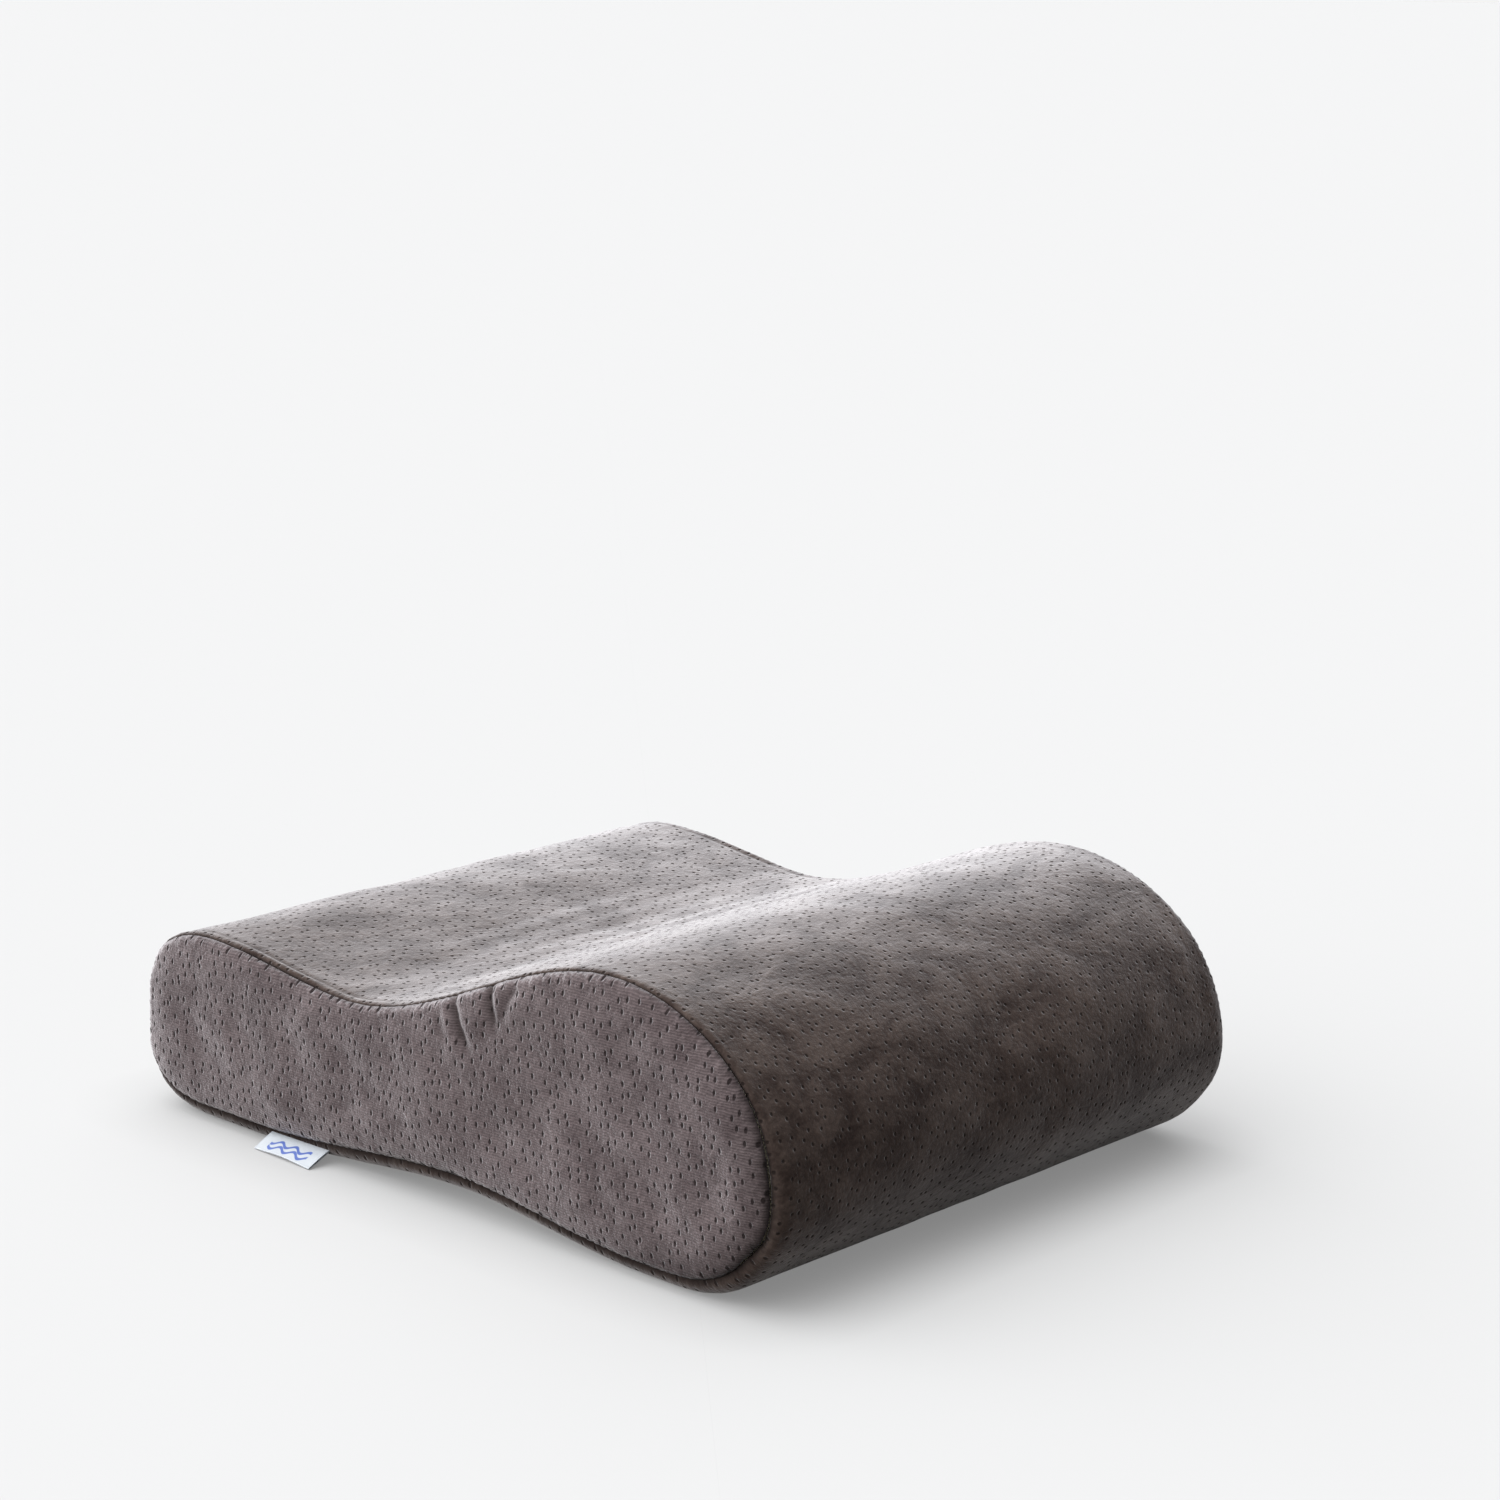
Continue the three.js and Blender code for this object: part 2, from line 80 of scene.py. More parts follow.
def apply_modifiers(piece):
    select_only(piece)
    for modifier in list(piece.modifiers):
        bpy.ops.object.modifier_apply(modifier=modifier.name)
    return piece


def get_points(piece, what="co"):
    flat = np.zeros(len(piece.data.vertices) * 3, np.float64)
    piece.data.vertices.foreach_get(what, flat)
    return flat.reshape(-1, 3)


def set_points(piece, points):
    piece.data.vertices.foreach_set("co", np.asarray(points, np.float64).ravel())
    piece.data.update()


def face_outward(piece, smooth_below):
    select_only(piece)
    bpy.ops.object.mode_set(mode="EDIT")
    bpy.ops.mesh.select_all(action="SELECT")
    bpy.ops.mesh.normals_make_consistent(inside=False)
    bpy.ops.object.mode_set(mode="OBJECT")
    bpy.ops.object.shade_smooth_by_angle(angle=math.radians(smooth_below))


def smooth_once(piece, settings=None):
    smooth = piece.modifiers.new("smooth", "SUBSURF")
    smooth.levels = smooth.render_levels = 1
    for key, value in (settings or {}).items():
        setattr(smooth, key, value)
    apply_modifiers(piece)


def in_mm(metres):
    return round(float(metres) * 1000, 2)


def unit(rows):
    return rows / np.linalg.norm(rows, axis=-1)[..., None]


def hump(value, middle, width):
    return np.exp(-((value - middle) / width) ** 2)


def smooth_step(low, high, value):
    t = np.clip((value - low) / (high - low), 0, 1)
    return t * t * (3 - 2 * t)


def finish_piece(piece, finish, body, slot, *nodes):
    piece.data.materials.append(finish)
    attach(piece, body)
    if nodes:
        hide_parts(*nodes)
    print(piece.name, len(piece.data.polygons), "faces")
    return piece

# %% Node helpers
def add_node(tree, kind, settings=None, **inputs):
    node = tree.nodes.new(kind)
    for key, value in (settings or {}).items():
        setattr(node, key, value)
    for key, value in inputs.items():
        numbered = key[0] == "i" and key[1:].isdigit()
        socket = node.inputs[int(key[1:])] if numbered else node.inputs[key]
        if isinstance(value, bpy.types.NodeSocket):
            tree.links.new(value, socket)
        else:
            socket.default_value = value
    return node


def maths(tree, operation, a, b=0.0, c=0.0):
    return add_node(tree, "ShaderNodeMath", {"operation": operation}, i0=a, i1=b, i2=c).outputs[0]


def times(tree, a, b):
    return maths(tree, "MULTIPLY", a, b)


def times_plus(tree, a, b, c):
    return maths(tree, "MULTIPLY_ADD", a, b, c)


def vector_maths(tree, operation, a, b):
    return add_node(tree, "ShaderNodeVectorMath", {"operation": operation}, i0=a, i1=b).outputs[0]


def apart(tree, vector):
    return add_node(tree, "ShaderNodeSeparateXYZ", None, Vector=vector).outputs


def object_place(tree):
    return add_node(tree, "ShaderNodeTexCoord").outputs["Object"]


def remap(tree, value, from_low, from_high, to_low, to_high, curve="SMOOTHSTEP"):
    settings = {"interpolation_type": curve, "clamp": curve == "LINEAR"}
    ends = {"From Min": from_low, "From Max": from_high, "To Min": to_low, "To Max": to_high}
    return add_node(tree, "ShaderNodeMapRange", settings, Value=value, **ends).outputs[0]


def fit(tree, value, from_low, from_high, to_low, to_high):
    return remap(tree, value, from_low, from_high, to_low, to_high, "LINEAR")


def blend(tree, amount, a, b, how="MIX"):
    settings = {"data_type": "RGBA", "blend_type": how}
    return add_node(tree, "ShaderNodeMix", settings, i0=amount, i6=a, i7=b).outputs[2]


def noise(tree, where, scale, detail=3.0, rough=0.5, twist=0.0):
    names = {"Vector": where, "Scale": scale, "Detail": detail, "Roughness": rough, "Distortion": twist}
    return add_node(tree, "ShaderNodeTexNoise", None, **names).outputs[0]


def tone_by(tree, colour, value):
    grey = add_node(tree, "ShaderNodeCombineColor", None, Red=value, Green=value, Blue=value).outputs[0]
    return blend(tree, 1.0, colour, grey, "MULTIPLY")


def mix_for_camera(tree, others, camera):
    path = add_node(tree, "ShaderNodeLightPath").outputs["Is Camera Ray"]
    return add_node(tree, "ShaderNodeMixShader", None, i0=path, i1=others.outputs[0], i2=camera.outputs[0])


def bump_from(tree, height, depth, strength=1.0, inverted=False, **more):
    names = {"Strength": strength, "Distance": depth, "Height": height, **more}
    return add_node(tree, "ShaderNodeBump", {"invert": inverted}, **names).outputs[0]


def new_group(name, inputs, outputs):
    group = bpy.data.node_groups.new(name, "ShaderNodeTree")
    for label, kind, value in inputs:
        socket = group.interface.new_socket(label, in_out="INPUT", socket_type=kind)
        if value is not None:
            socket.default_value = value
    for label in outputs:
        group.interface.new_socket(label, in_out="OUTPUT", socket_type="NodeSocketFloat")
    return group, group.nodes.new("NodeGroupInput").outputs, group.nodes.new("NodeGroupOutput").inputs


def use_group(tree, group, **inputs):
    return add_node(tree, "ShaderNodeGroup", {"node_tree": group}, **inputs).outputs


def new_material(name):
    material = bpy.data.materials.new(name)
    material.use_nodes = True
    tree = material.node_tree
    tree.nodes.clear()
    out = tree.nodes.new("ShaderNodeOutputMaterial")
    shader = tree.nodes.new("ShaderNodeBsdfPrincipled")
    tree.links.new(shader.outputs[0], out.inputs[0])
    return material, tree, shader


def wire(material, shader, colour, roughness, normal, settings=None):
    links = material.node_tree.links
    for name, socket in (("Base Color", colour), ("Roughness", roughness), ("Normal", normal)):
        links.new(socket, shader.inputs[name])
    for name, value in (settings or {}).items():
        shader.inputs[name].default_value = value
    return material


def paint(red, green, blue):
    def linear(v):
        v = v / 255
        return v / 12.92 if v <= 0.04045 else ((v + 0.055) / 1.055) ** 2.4
    return (linear(red), linear(green), linear(blue), 1.0)


def sine(tree, value, per_metre):
    return maths(tree, "SINE", times(tree, value, per_metre))

# %% [markdown]
# ## The studio
# Soft goods are shown on a pale sweep under two wide soft lights, so that the shape reads from the shading
# and not from hard shadows. Such wide suns light the floor evenly too.
# The camera is slightly turned, so it is set by its three axes, because that is exact.

# %% Camera
def make_camera(location, right, up, back, lens):
    data = bpy.data.cameras.new("studio_camera")
    camera = add_object("studio_camera", data)
    data.lens = lens
    data.sensor_width = 36.0
    data.clip_start = 0.05
    data.clip_end = 100.0
    turn = Matrix((right, up, back)).transposed().to_4x4()
    camera.matrix_world = Matrix.Translation(location) @ turn
    bpy.context.scene.camera = camera
    return camera


CAMERA = make_camera(
    Vector((-0.87342, -0.80358, 0.40986)),
    Vector((0.66744576, -0.74424345, 0.02485641)),
    Vector((0.14920658, 0.16636372, 0.97471047)),
    Vector((-0.7295571, -0.64685763, 0.22208478)),
    82.39,
)
print("camera lens", round(CAMERA.data.lens, 2), "mm")

# %% Lights and background
FLOOR_TONE = 0.896


def add_sun(name, towards_light, strength, spread, colour):
    data = bpy.data.lights.new(name, "SUN")
    data.energy = strength
    data.angle = math.radians(spread)
    data.color = colour
    lamp = add_object(name, data)
    lamp.rotation_mode = "QUATERNION"
    lamp.rotation_quaternion = Vector(towards_light).to_track_quat("Z", "Y")
    lamp.location = Vector(towards_light) * 2


add_sun("key_soft_box", (-0.62, 0.42, 0.66), 3.2, 100, (1.0, 0.995, 0.985))
add_sun("top_soft_box", (0.10, 0.70, 0.71), 2.0, 110, (0.97, 0.985, 1.0))


def make_world(low, high, bright_side, seen):
    world = bpy.data.worlds.new("studio_air")
    bpy.context.scene.world = world
    world.use_nodes = True
    tree = world.node_tree
    tree.nodes.clear()
    look = add_node(tree, "ShaderNodeTexCoord").outputs["Generated"]
    brightest = Vector(bright_side).normalized()
    facing = add_node(tree, "ShaderNodeVectorMath", {"operation": "DOT_PRODUCT"}, i0=look, i1=brightest)
    strength = remap(tree, facing.outputs["Value"], -0.3, 1.0, low, high)
    air = add_node(tree, "ShaderNodeBackground", None, Color=(0.97, 0.98, 1.0, 1), Strength=strength)
    backdrop = add_node(tree, "ShaderNodeBackground", None, Color=(seen, seen, seen, 1))
    mix = mix_for_camera(tree, air, backdrop)
    add_node(tree, "ShaderNodeOutputWorld", None, Surface=mix.outputs[0])


make_world(0.12, 1.6, (-0.45, 0.65, 0.62), FLOOR_TONE)
bpy.context.scene.view_settings.view_transform = "Standard"
bpy.context.scene.view_settings.look = "None"

# %% [markdown]
# ## Effects that several finishes share
# Pin dimples: the hot pins that emboss this velour stand in staggered rows. A Voronoi pattern gives one
# point per cell. Sheared coordinates stagger the cells, and the vector to the point is sheared back, so
# each dimple comes out round, or as a short dash where Across and Along differ.
# Pile: brushed fibres lean in patches, so velour looks crushed: broad clouds, short streaks, fine fibres.

# %% Shared effect: pin dimples
ROW_RISE = 0.866


def build_pin_dimples():
    group, given, result = new_group("Pin dimples", [
        ("Vector", "NodeSocketVector", None), ("Pitch", "NodeSocketFloat", 0.005),
        ("Across", "NodeSocketFloat", 0.0007), ("Along", "NodeSocketFloat", 0.0007),
        ("Wander", "NodeSocketFloat", 0.3)], ["Hole", "Lip_highlight"])
    place = apart(group, vector_maths(group, "DIVIDE", given["Vector"], given["Pitch"]))
    row = maths(group, "DIVIDE", place[1], ROW_RISE)
    column = maths(group, "SUBTRACT", place[0], times(group, row, 0.5))
    sheared = add_node(group, "ShaderNodeCombineXYZ", None, X=column, Y=row).outputs[0]
    cells = add_node(
        group, "ShaderNodeTexVoronoi", {"voronoi_dimensions": "2D", "feature": "F1"},
        Vector=sheared, Scale=1.0, Randomness=given["Wander"])
    away = apart(group, vector_maths(group, "SUBTRACT", cells.outputs["Position"], sheared))
    dx = times_plus(group, away[1], 0.5, away[0])
    dy = times(group, away[1], ROW_RISE)
    u = maths(group, "DIVIDE", times(group, dx, given["Pitch"]), given["Across"])
    v = maths(group, "DIVIDE", times(group, dy, given["Pitch"]), given["Along"])
    far = maths(group, "SQRT", maths(group, "ADD", times(group, u, u), times(group, v, v)))
    # The lip ring around each dimple is used for a painted highlight.
    lip_highlight = times(group, remap(group, far, 0.8, 1.3, 0.0, 1.0), remap(group, far, 1.3, 2.1, 1.0, 0.0))
    group.links.new(remap(group, far, 0.45, 1.1, 1.0, 0.0), result["Hole"])
    group.links.new(lip_highlight, result["Lip_highlight"])
    return group


PIN_DIMPLES = build_pin_dimples()

# %% Shared effect: brushed pile
def build_brushed_pile():
    group, given, result = new_group("Brushed pile", [
        ("Vector", "NodeSocketVector", None), ("Stretch", "NodeSocketVector", (1.0, 1.0, 1.0))],
        ["Clouds", "Streaks", "Fibres"])
    where = vector_maths(group, "MULTIPLY", given["Vector"], given["Stretch"])
    group.links.new(noise(group, where, 34.0, 5.0, 0.62, 0.5), result["Clouds"])
    group.links.new(noise(group, where, 150.0, 4.0, 0.6, 0.8), result["Streaks"])
    group.links.new(noise(group, given["Vector"], 620.0, 4.0, 0.65), result["Fibres"])
    return group


BRUSHED_PILE = build_brushed_pile()

# %% [markdown]
# ## The velour of the cover
# The cover is a short dense pile over a knitted back. Its base colour is mixed by the facing angle, a
# painted sheen:
# dark where we look down into the pile and pale where we look along it. The wrap's pattern runs on the
# cloth's own lengths in metres (its UV map), so it follows the bends like the real panel. On the wrap the
# painted sheen rises from the near end to the far end, as painted light from that side.

# %% Shared steps of a velour
def lay_pile(tree, cloth, stretch, streaky, deep, pale):
    pile = use_group(tree, BRUSHED_PILE, Vector=cloth, Stretch=stretch)
    clouds = remap(tree, pile["Clouds"], 0.34, 0.66, 0.0, 1.0)
    streaks = remap(tree, pile["Streaks"], 0.3, 0.7, 0.0, 1.0)
    lean = times_plus(tree, streaks, streaky, times(tree, clouds, 1 - streaky))
    return pile, lean, blend(tree, lean, deep, pale)


def pile_normal(tree, pile, pins, fibre_depth, streak_depth, hole_depth):
    height = times(tree, pile["Fibres"], fibre_depth)
    height = times_plus(tree, pile["Streaks"], streak_depth, height)
    height = times_plus(tree, pile["Clouds"], 0.0009, height)
    return bump_from(tree, times_plus(tree, pins["Hole"], -hole_depth, height), 1.0)


# Painted shade: a point attribute set on the panels that marks seam grooves, puckers and a band beside the
# seam.
def painted_crease_shade_mask(tree):
    return add_node(tree, "ShaderNodeAttribute", {"attribute_name": "painted_crease_shade"}).outputs["Fac"]


# Painted sheen: the base colour turns pale where the surface is seen edge-on, most at grazing angles, less
# in dimple pits and marked creases.
def paint_sheen_along_pile(tree, base, normal, lean, pins, amount, pale):
    along = add_node(tree, "ShaderNodeLayerWeight", None, Blend=0.5, Normal=normal).outputs["Facing"]
    painted_sheen = times(tree, remap(tree, along, 0.30, 1.0, 0.0, 1.0), amount)
    painted_sheen = times(tree, painted_sheen, fit(tree, lean, 0.0, 1.0, 0.76, 1.08))
    painted_sheen = maths(tree, "ADD", painted_sheen, remap(tree, along, 0.88, 1.0, 0.0, 0.24))
    painted_sheen = times(tree, painted_sheen, times_plus(tree, pins["Hole"], -0.9, 1.0))
    painted_sheen = times(tree, painted_sheen, times_plus(tree, painted_crease_shade_mask(tree), -0.85, 1.0))
    return blend(tree, painted_sheen, base, pale)


def close_velour(made, base, pins, hole, pit, lean, smoothest, normal, tint):
    material, tree, shader = made
    # Painted shade: the dimple pits are darkened towards the pit colour.
    base = blend(tree, times(tree, pins["Hole"], hole), base, pit)
    # Painted shade: the marked seams and puckers are darkened towards a near-black brown.
    base = blend(tree, times(tree, painted_crease_shade_mask(tree), 0.8), base, paint(26, 20, 19))
    settings = {"Sheen Weight": 0.16, "Sheen Roughness": 0.3, "Sheen Tint": tint, "Specular IOR Level": 0.1}
    return wire(material, shader, base, fit(tree, lean, 0.0, 1.0, 0.95, smoothest), normal, settings)

# %% Velour of the wrap
def make_wrap_velour():
    made = new_material("brushed_velour_wrap")
    tree = made[1]
    cloth = add_node(tree, "ShaderNodeUVMap", {"uv_map": "cloth"}).outputs[0]
    pile, lean, base = lay_pile(tree, cloth, (1.4, 1.0, 1.0), 0.35, paint(41, 31, 28), paint(77, 66, 61))
    rows = {"Pitch": 0.0052, "Across": 0.00076, "Along": 0.00076, "Wander": 0.55}
    pins = use_group(tree, PIN_DIMPLES, Vector=cloth, **rows)
    base = tone_by(tree, base, fit(tree, pile["Fibres"], 0.3, 0.7, 0.72, 1.28))
    # Painted highlight: a faint pale ring around each dimple.
    base = blend(tree, times(tree, pins["Lip_highlight"], 0.02), base, paint(150, 138, 132))
    normal = pile_normal(tree, pile, pins, 0.00026, 0.00026, 0.00024)
    # Painted light: the painted sheen on the wrap grows from 0.34 at the near end to 0.58 at the far end.
    amount = fit(tree, apart(tree, cloth)[1], -0.12, 0.12, 0.34, 0.58)
    base = paint_sheen_along_pile(tree, base, normal, lean, pins, amount, paint(212, 210, 213))
    return close_velour(made, base, pins, 0.80, paint(24, 18, 16), lean, 0.8, normal, (1.0, 0.96, 0.94, 1))


WRAP_VELOUR = make_wrap_velour()

# %% [markdown]
# The end panels are cut from the same roll but turned, so their dimples are short upright dashes, and
# the knitted rows show through as fine level ribs. They are nearly flat, so object coordinates carry
# the pattern.

# %% Velour of the end panels
RIB = 0.00092


def make_end_velour():
    made = new_material("brushed_velour_end")
    tree = made[1]
    part = apart(tree, object_place(tree))
    cloth = add_node(tree, "ShaderNodeCombineXYZ", None, X=part[1], Y=part[2]).outputs[0]
    # The ends get a lighter base colour than the wrap, though both are cut from one roll: partly the turned
    # pile, partly painted light falling on the ends.
    pile, lean, base = lay_pile(tree, cloth, (1.0, 0.9, 1.0), 0.45, paint(70, 61, 62), paint(97, 87, 88))
    rows = {"Pitch": 0.0050, "Across": 0.00070, "Along": 0.00125, "Wander": 0.62}
    pins = use_group(tree, PIN_DIMPLES, Vector=cloth, **rows)
    wobble = times_plus(tree, pile["Streaks"], 0.0016, part[2])
    ribs = fit(tree, sine(tree, wobble, 2 * math.pi / RIB), -1.0, 1.0, 0.0, 1.0)
    base = tone_by(tree, base, fit(tree, pile["Fibres"], 0.3, 0.7, 0.74, 1.28))
    base = tone_by(tree, base, fit(tree, ribs, 0.0, 1.0, 0.90, 1.07))
    pebbles = times_plus(tree, ribs, 0.35, noise(tree, cloth, 1000.0, 2.0, 0.5, 0.3))
    base = tone_by(tree, base, fit(tree, pebbles, 0.45, 0.95, 0.86, 1.14))
    normal = pile_normal(tree, pile, pins, 0.00032, 0.00032, 0.00030)
    normal = bump_from(tree, pebbles, 0.00016, Normal=normal)
    base = paint_sheen_along_pile(tree, base, normal, lean, pins, 0.62, paint(206, 202, 205))
    return close_velour(made, base, pins, 0.88, paint(28, 22, 22), lean, 0.82, normal, (0.96, 0.96, 1.0, 1))


END_VELOUR = make_end_velour()

# %% [markdown]
# ## The outline of the pillow
# Every panel follows one side outline, so it is read once, from a cut through a merged copy of the packed
# wrap, just past the end of the zip. The cut's longest loop is the outside of the cloth.
# A periodic spline turns its corners into the smooth curve of cloth drawn over foam.

# %% Read the outline
ZIP_HEIGHT = 0.032
PAST_ZIP = 0.1125
DRAWN_IN = 0.0012


def cut_outline(node, at_x):
    cut = bmesh.new()
    cut.from_mesh(node.data)
    bmesh.ops.remove_doubles(cut, verts=cut.verts, dist=1e-6)
    whole = cut.verts[:] + cut.edges[:] + cut.faces[:]
    result = bmesh.ops.bisect_plane(cut, geom=whole, plane_co=(at_x, 0, 0), plane_no=(1, 0, 0))
    edges = [e for e in result["geom_cut"] if isinstance(e, bmesh.types.BMEdge)]
    links = {}
    for edge in edges:
        a, b = edge.verts
        links.setdefault(a, []).append(b)
        links.setdefault(b, []).append(a)
    loops = []
    left = set(links)
    while left:
        vert = next(iter(left))
        loop = []
        while vert is not None:
            loop.append((vert.co.y, vert.co.z))
            left.discard(vert)
            vert = next((v for v in links[vert] if v in left), None)
        loops.append(np.array(loop))
    cut.free()
    return max(loops, key=lambda p: np.linalg.norm(p - np.roll(p, 1, 0), axis=1).sum())


def spline_loop(points, count):
    before, after, later = np.roll(points, 1, 0), np.roll(points, -1, 0), np.roll(points, -2, 0)
    t = np.linspace(0, 1, 24, endpoint=False)[None, :, None]
    a, b, c, d = (p[:, None, :] for p in (before, points, after, later))
    square, cube = (2 * a - 5 * b + 4 * c - d) * t ** 2, (3 * b - a - 3 * c + d) * t ** 3
    dense = (0.5 * (2 * b + (c - a) * t + square + cube)).reshape(-1, 2)
    step = np.linalg.norm(np.roll(dense, -1, 0) - dense, axis=1)
    along = np.r_[0, np.cumsum(step)]
    dense = np.vstack([dense, dense[:1]])
    where = np.linspace(0, along[-1], count, endpoint=False)
    return np.stack([np.interp(where, along, dense[:, k]) for k in (0, 1)], 1)


def start_under_middle(points):
    area = np.sum(points[:, 0] * np.roll(points[:, 1], -1) - np.roll(points[:, 0], -1) * points[:, 1])
    if area < 0:
        points = points[::-1]
    first = np.argmin(np.hypot(points[:, 0], points[:, 1] - 0.007))
    return np.roll(points, -first, 0)


RAW_OUTLINE = start_under_middle(cut_outline(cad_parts["wrap_panel"], PAST_ZIP))
OUTLINE = spline_loop(RAW_OUTLINE, 3200)
for _ in range(60):
    OUTLINE = OUTLINE * 0.5 + (np.roll(OUTLINE, 1, 0) + np.roll(OUTLINE, -1, 0)) * 0.25


def outward_of(loop):
    tangent = unit(np.roll(loop, -1, 0) - np.roll(loop, 1, 0))
    return np.stack([tangent[:, 1], -tangent[:, 0]], 1)


def drawn_in(loop, amount):
    y, z = loop[:, 0], loop[:, 1]
    off_floor = smooth_step(0.003, 0.016, z)
    off_zip = 1 - smooth_step(0.145, 0.152, y) * smooth_step(0.020, 0.013, np.abs(z - ZIP_HEIGHT))
    return loop - outward_of(loop) * (amount * off_floor * off_zip)[:, None]


OUTLINE = drawn_in(OUTLINE, DRAWN_IN)
OUTWARD = outward_of(OUTLINE)
GIRTH = float(np.linalg.norm(np.roll(OUTLINE, -1, 0) - OUTLINE, axis=1).sum())
print("outline", len(RAW_OUTLINE), "points, girth", in_mm(GIRTH), "mm")


def outline_at(s):
    grid = np.arange(len(OUTLINE) + 1) * GIRTH / len(OUTLINE)
    s = np.mod(s, GIRTH)
    place = [np.interp(s, grid, np.r_[OUTLINE[:, k], OUTLINE[0, k]]) for k in (0, 1)]
    out = [np.interp(s, grid, np.r_[OUTWARD[:, k], OUTWARD[0, k]]) for k in (0, 1)]
    return np.stack(place, -1), unit(np.stack(out, -1))


def girth_to(height):
    back = OUTLINE[:, 0] > OUTLINE[:, 0].max() - 0.003
    grid = np.arange(len(OUTLINE)) * GIRTH / len(OUTLINE)
    return float(np.interp(height, OUTLINE[back, 1], grid[back]))

# %% [markdown]
# ## The cover, as one closed skin first
# A sewn cover is pulled tight by the foam inside, so its panels shape each other. The wrap and both ends
# are made as one closed skin that shares its seam points, puffed out by the cloth solver,
# and only then parted into panels. The wrap is a grid along its girth and width. The ends are filled
# with an even lattice of triangles, whose height follows the distance to the seam.

# %% Grid of the wrap
SLOT_LOW, SLOT_HIGH = 0.0275, 0.0365
SLOT_HALF = 0.105
SEAM_X, STRAIGHT_X = 0.121, 0.1150


def seam_inset(s):
    place, out = outline_at(s)
    on_top = smooth_step(0.15, 0.75, out[..., 1]) * smooth_step(0.030, 0.050, place[..., 1])
    under = smooth_step(-0.2, -0.8, out[..., 1])
    return 0.0038 - 0.0030 * on_top + 0.0020 * under


def spread(low, high, count):
    return np.linspace(low, high, count, endpoint=False)


def girth_stations(step):
    low, high = girth_to(SLOT_LOW), girth_to(SLOT_HIGH)
    before = max(2, round(low / step))
    after = max(2, round((GIRTH - high) / step))
    return np.r_[spread(0, low, before), spread(low, high, 4), spread(high, GIRTH, after)]


def width_stations(step):
    half = int(round(SLOT_HALF / step))
    middle = np.linspace(-SLOT_HALF, SLOT_HALF, 2 * half + 1)
    shoulder = np.linspace(SLOT_HALF, STRAIGHT_X, 5)[1:]
    turn = np.sin(np.linspace(0, np.pi / 2, 6))[1:]
    x = np.r_[shoulder, STRAIGHT_X + (SEAM_X - STRAIGHT_X) * turn]
    inset = np.r_[shoulder * 0, 1 - np.sqrt(np.clip(1 - turn ** 2, 0, 1))]
    return np.r_[-x[::-1], middle, x], np.r_[inset[::-1], middle * 0, inset]


GIRTHS = girth_stations(0.0033)
WIDTHS, INSETS = width_stations(0.0040)
print("wrap grid", len(GIRTHS), "x", len(WIDTHS))


def wrap_points():
    place, out = outline_at(GIRTHS)
    inset = seam_inset(GIRTHS)[:, None] * INSETS[None, :]
    grid = place[:, None, :] - out[:, None, :] * inset[:, :, None]
    x = np.broadcast_to(WIDTHS[None, :], grid.shape[:2])
    return np.dstack([x, grid[..., 0], grid[..., 1]]).reshape(-1, 3)


def wrap_faces():
    rows, columns = len(GIRTHS), len(WIDTHS)
    i = np.repeat(np.arange(rows), columns - 1)
    j = np.tile(np.arange(columns - 1), rows)
    k = (i + 1) % rows
    return np.stack([i * columns + j, k * columns + j, k * columns + j + 1, i * columns + j + 1], 1)

# %% Lattice of an end panel
CROWN, CROWN_REACH = 0.0038, 0.0140


def seam_line():
    s = np.linspace(0, GIRTH, 1600, endpoint=False)
    place, out = outline_at(s)
    return s, place - out * seam_inset(s)[:, None]


def nearest_on(loop, points):
    gap, which = np.zeros(len(points)), np.zeros(len(points), int)
    for start in range(0, len(points), 500):
        far = np.linalg.norm(points[start:start + 500, None, :] - loop[None], axis=2)
        gap[start:start + 500] = far.min(1)
        which[start:start + 500] = far.argmin(1)
    return gap, which


def inside_loop(points, loop):
    after = np.roll(loop, -1, 0)
    crossings = np.zeros(len(points), int)
    for a, b in zip(loop, after):
        hit = (a[1] > points[:, 1]) != (b[1] > points[:, 1])
        x = a[0] + (points[:, 1] - a[1]) / (b[1] - a[1] + 1e-15) * (b[0] - a[0])
        crossings += hit & (points[:, 0] < x)
    return crossings % 2 == 1


def end_lattice(pitch):
    place, out = outline_at(GIRTHS)
    rim = place - out * seam_inset(GIRTHS)[:, None]
    fine_rim = seam_line()[1]
    low, high = rim.min(0), rim.max(0)
    rows = np.arange(low[1], high[1], pitch * ROW_RISE)
    columns = np.arange(low[0], high[0], pitch)
    field = [(y + (pitch / 2 if r % 2 else 0), z) for r, z in enumerate(rows) for y in columns]
    field = np.array(field)
    field = field[inside_loop(field, rim)]
    field = field[nearest_on(fine_rim, field)[0] > pitch * 0.72]
    points = np.vstack([rim, field])
    count = len(rim)
    edges = [(i, (i + 1) % count) for i in range(count)]
    made = delaunay_2d_cdt([Vector(p) for p in points], edges, [], 1, 1e-7)
    gap = nearest_on(fine_rim, points)[0]
    gap[:count] = 0
    height = CROWN * np.sqrt(np.clip(1 - (1 - np.clip(gap / CROWN_REACH, 0, 1)) ** 2, 0, 1))
    return points, np.array(made[2]), height


END_FLAT, END_FACES, END_HEIGHT = end_lattice(0.0026)
print("end lattice", len(END_FLAT), "points,", len(END_FACES), "triangles")

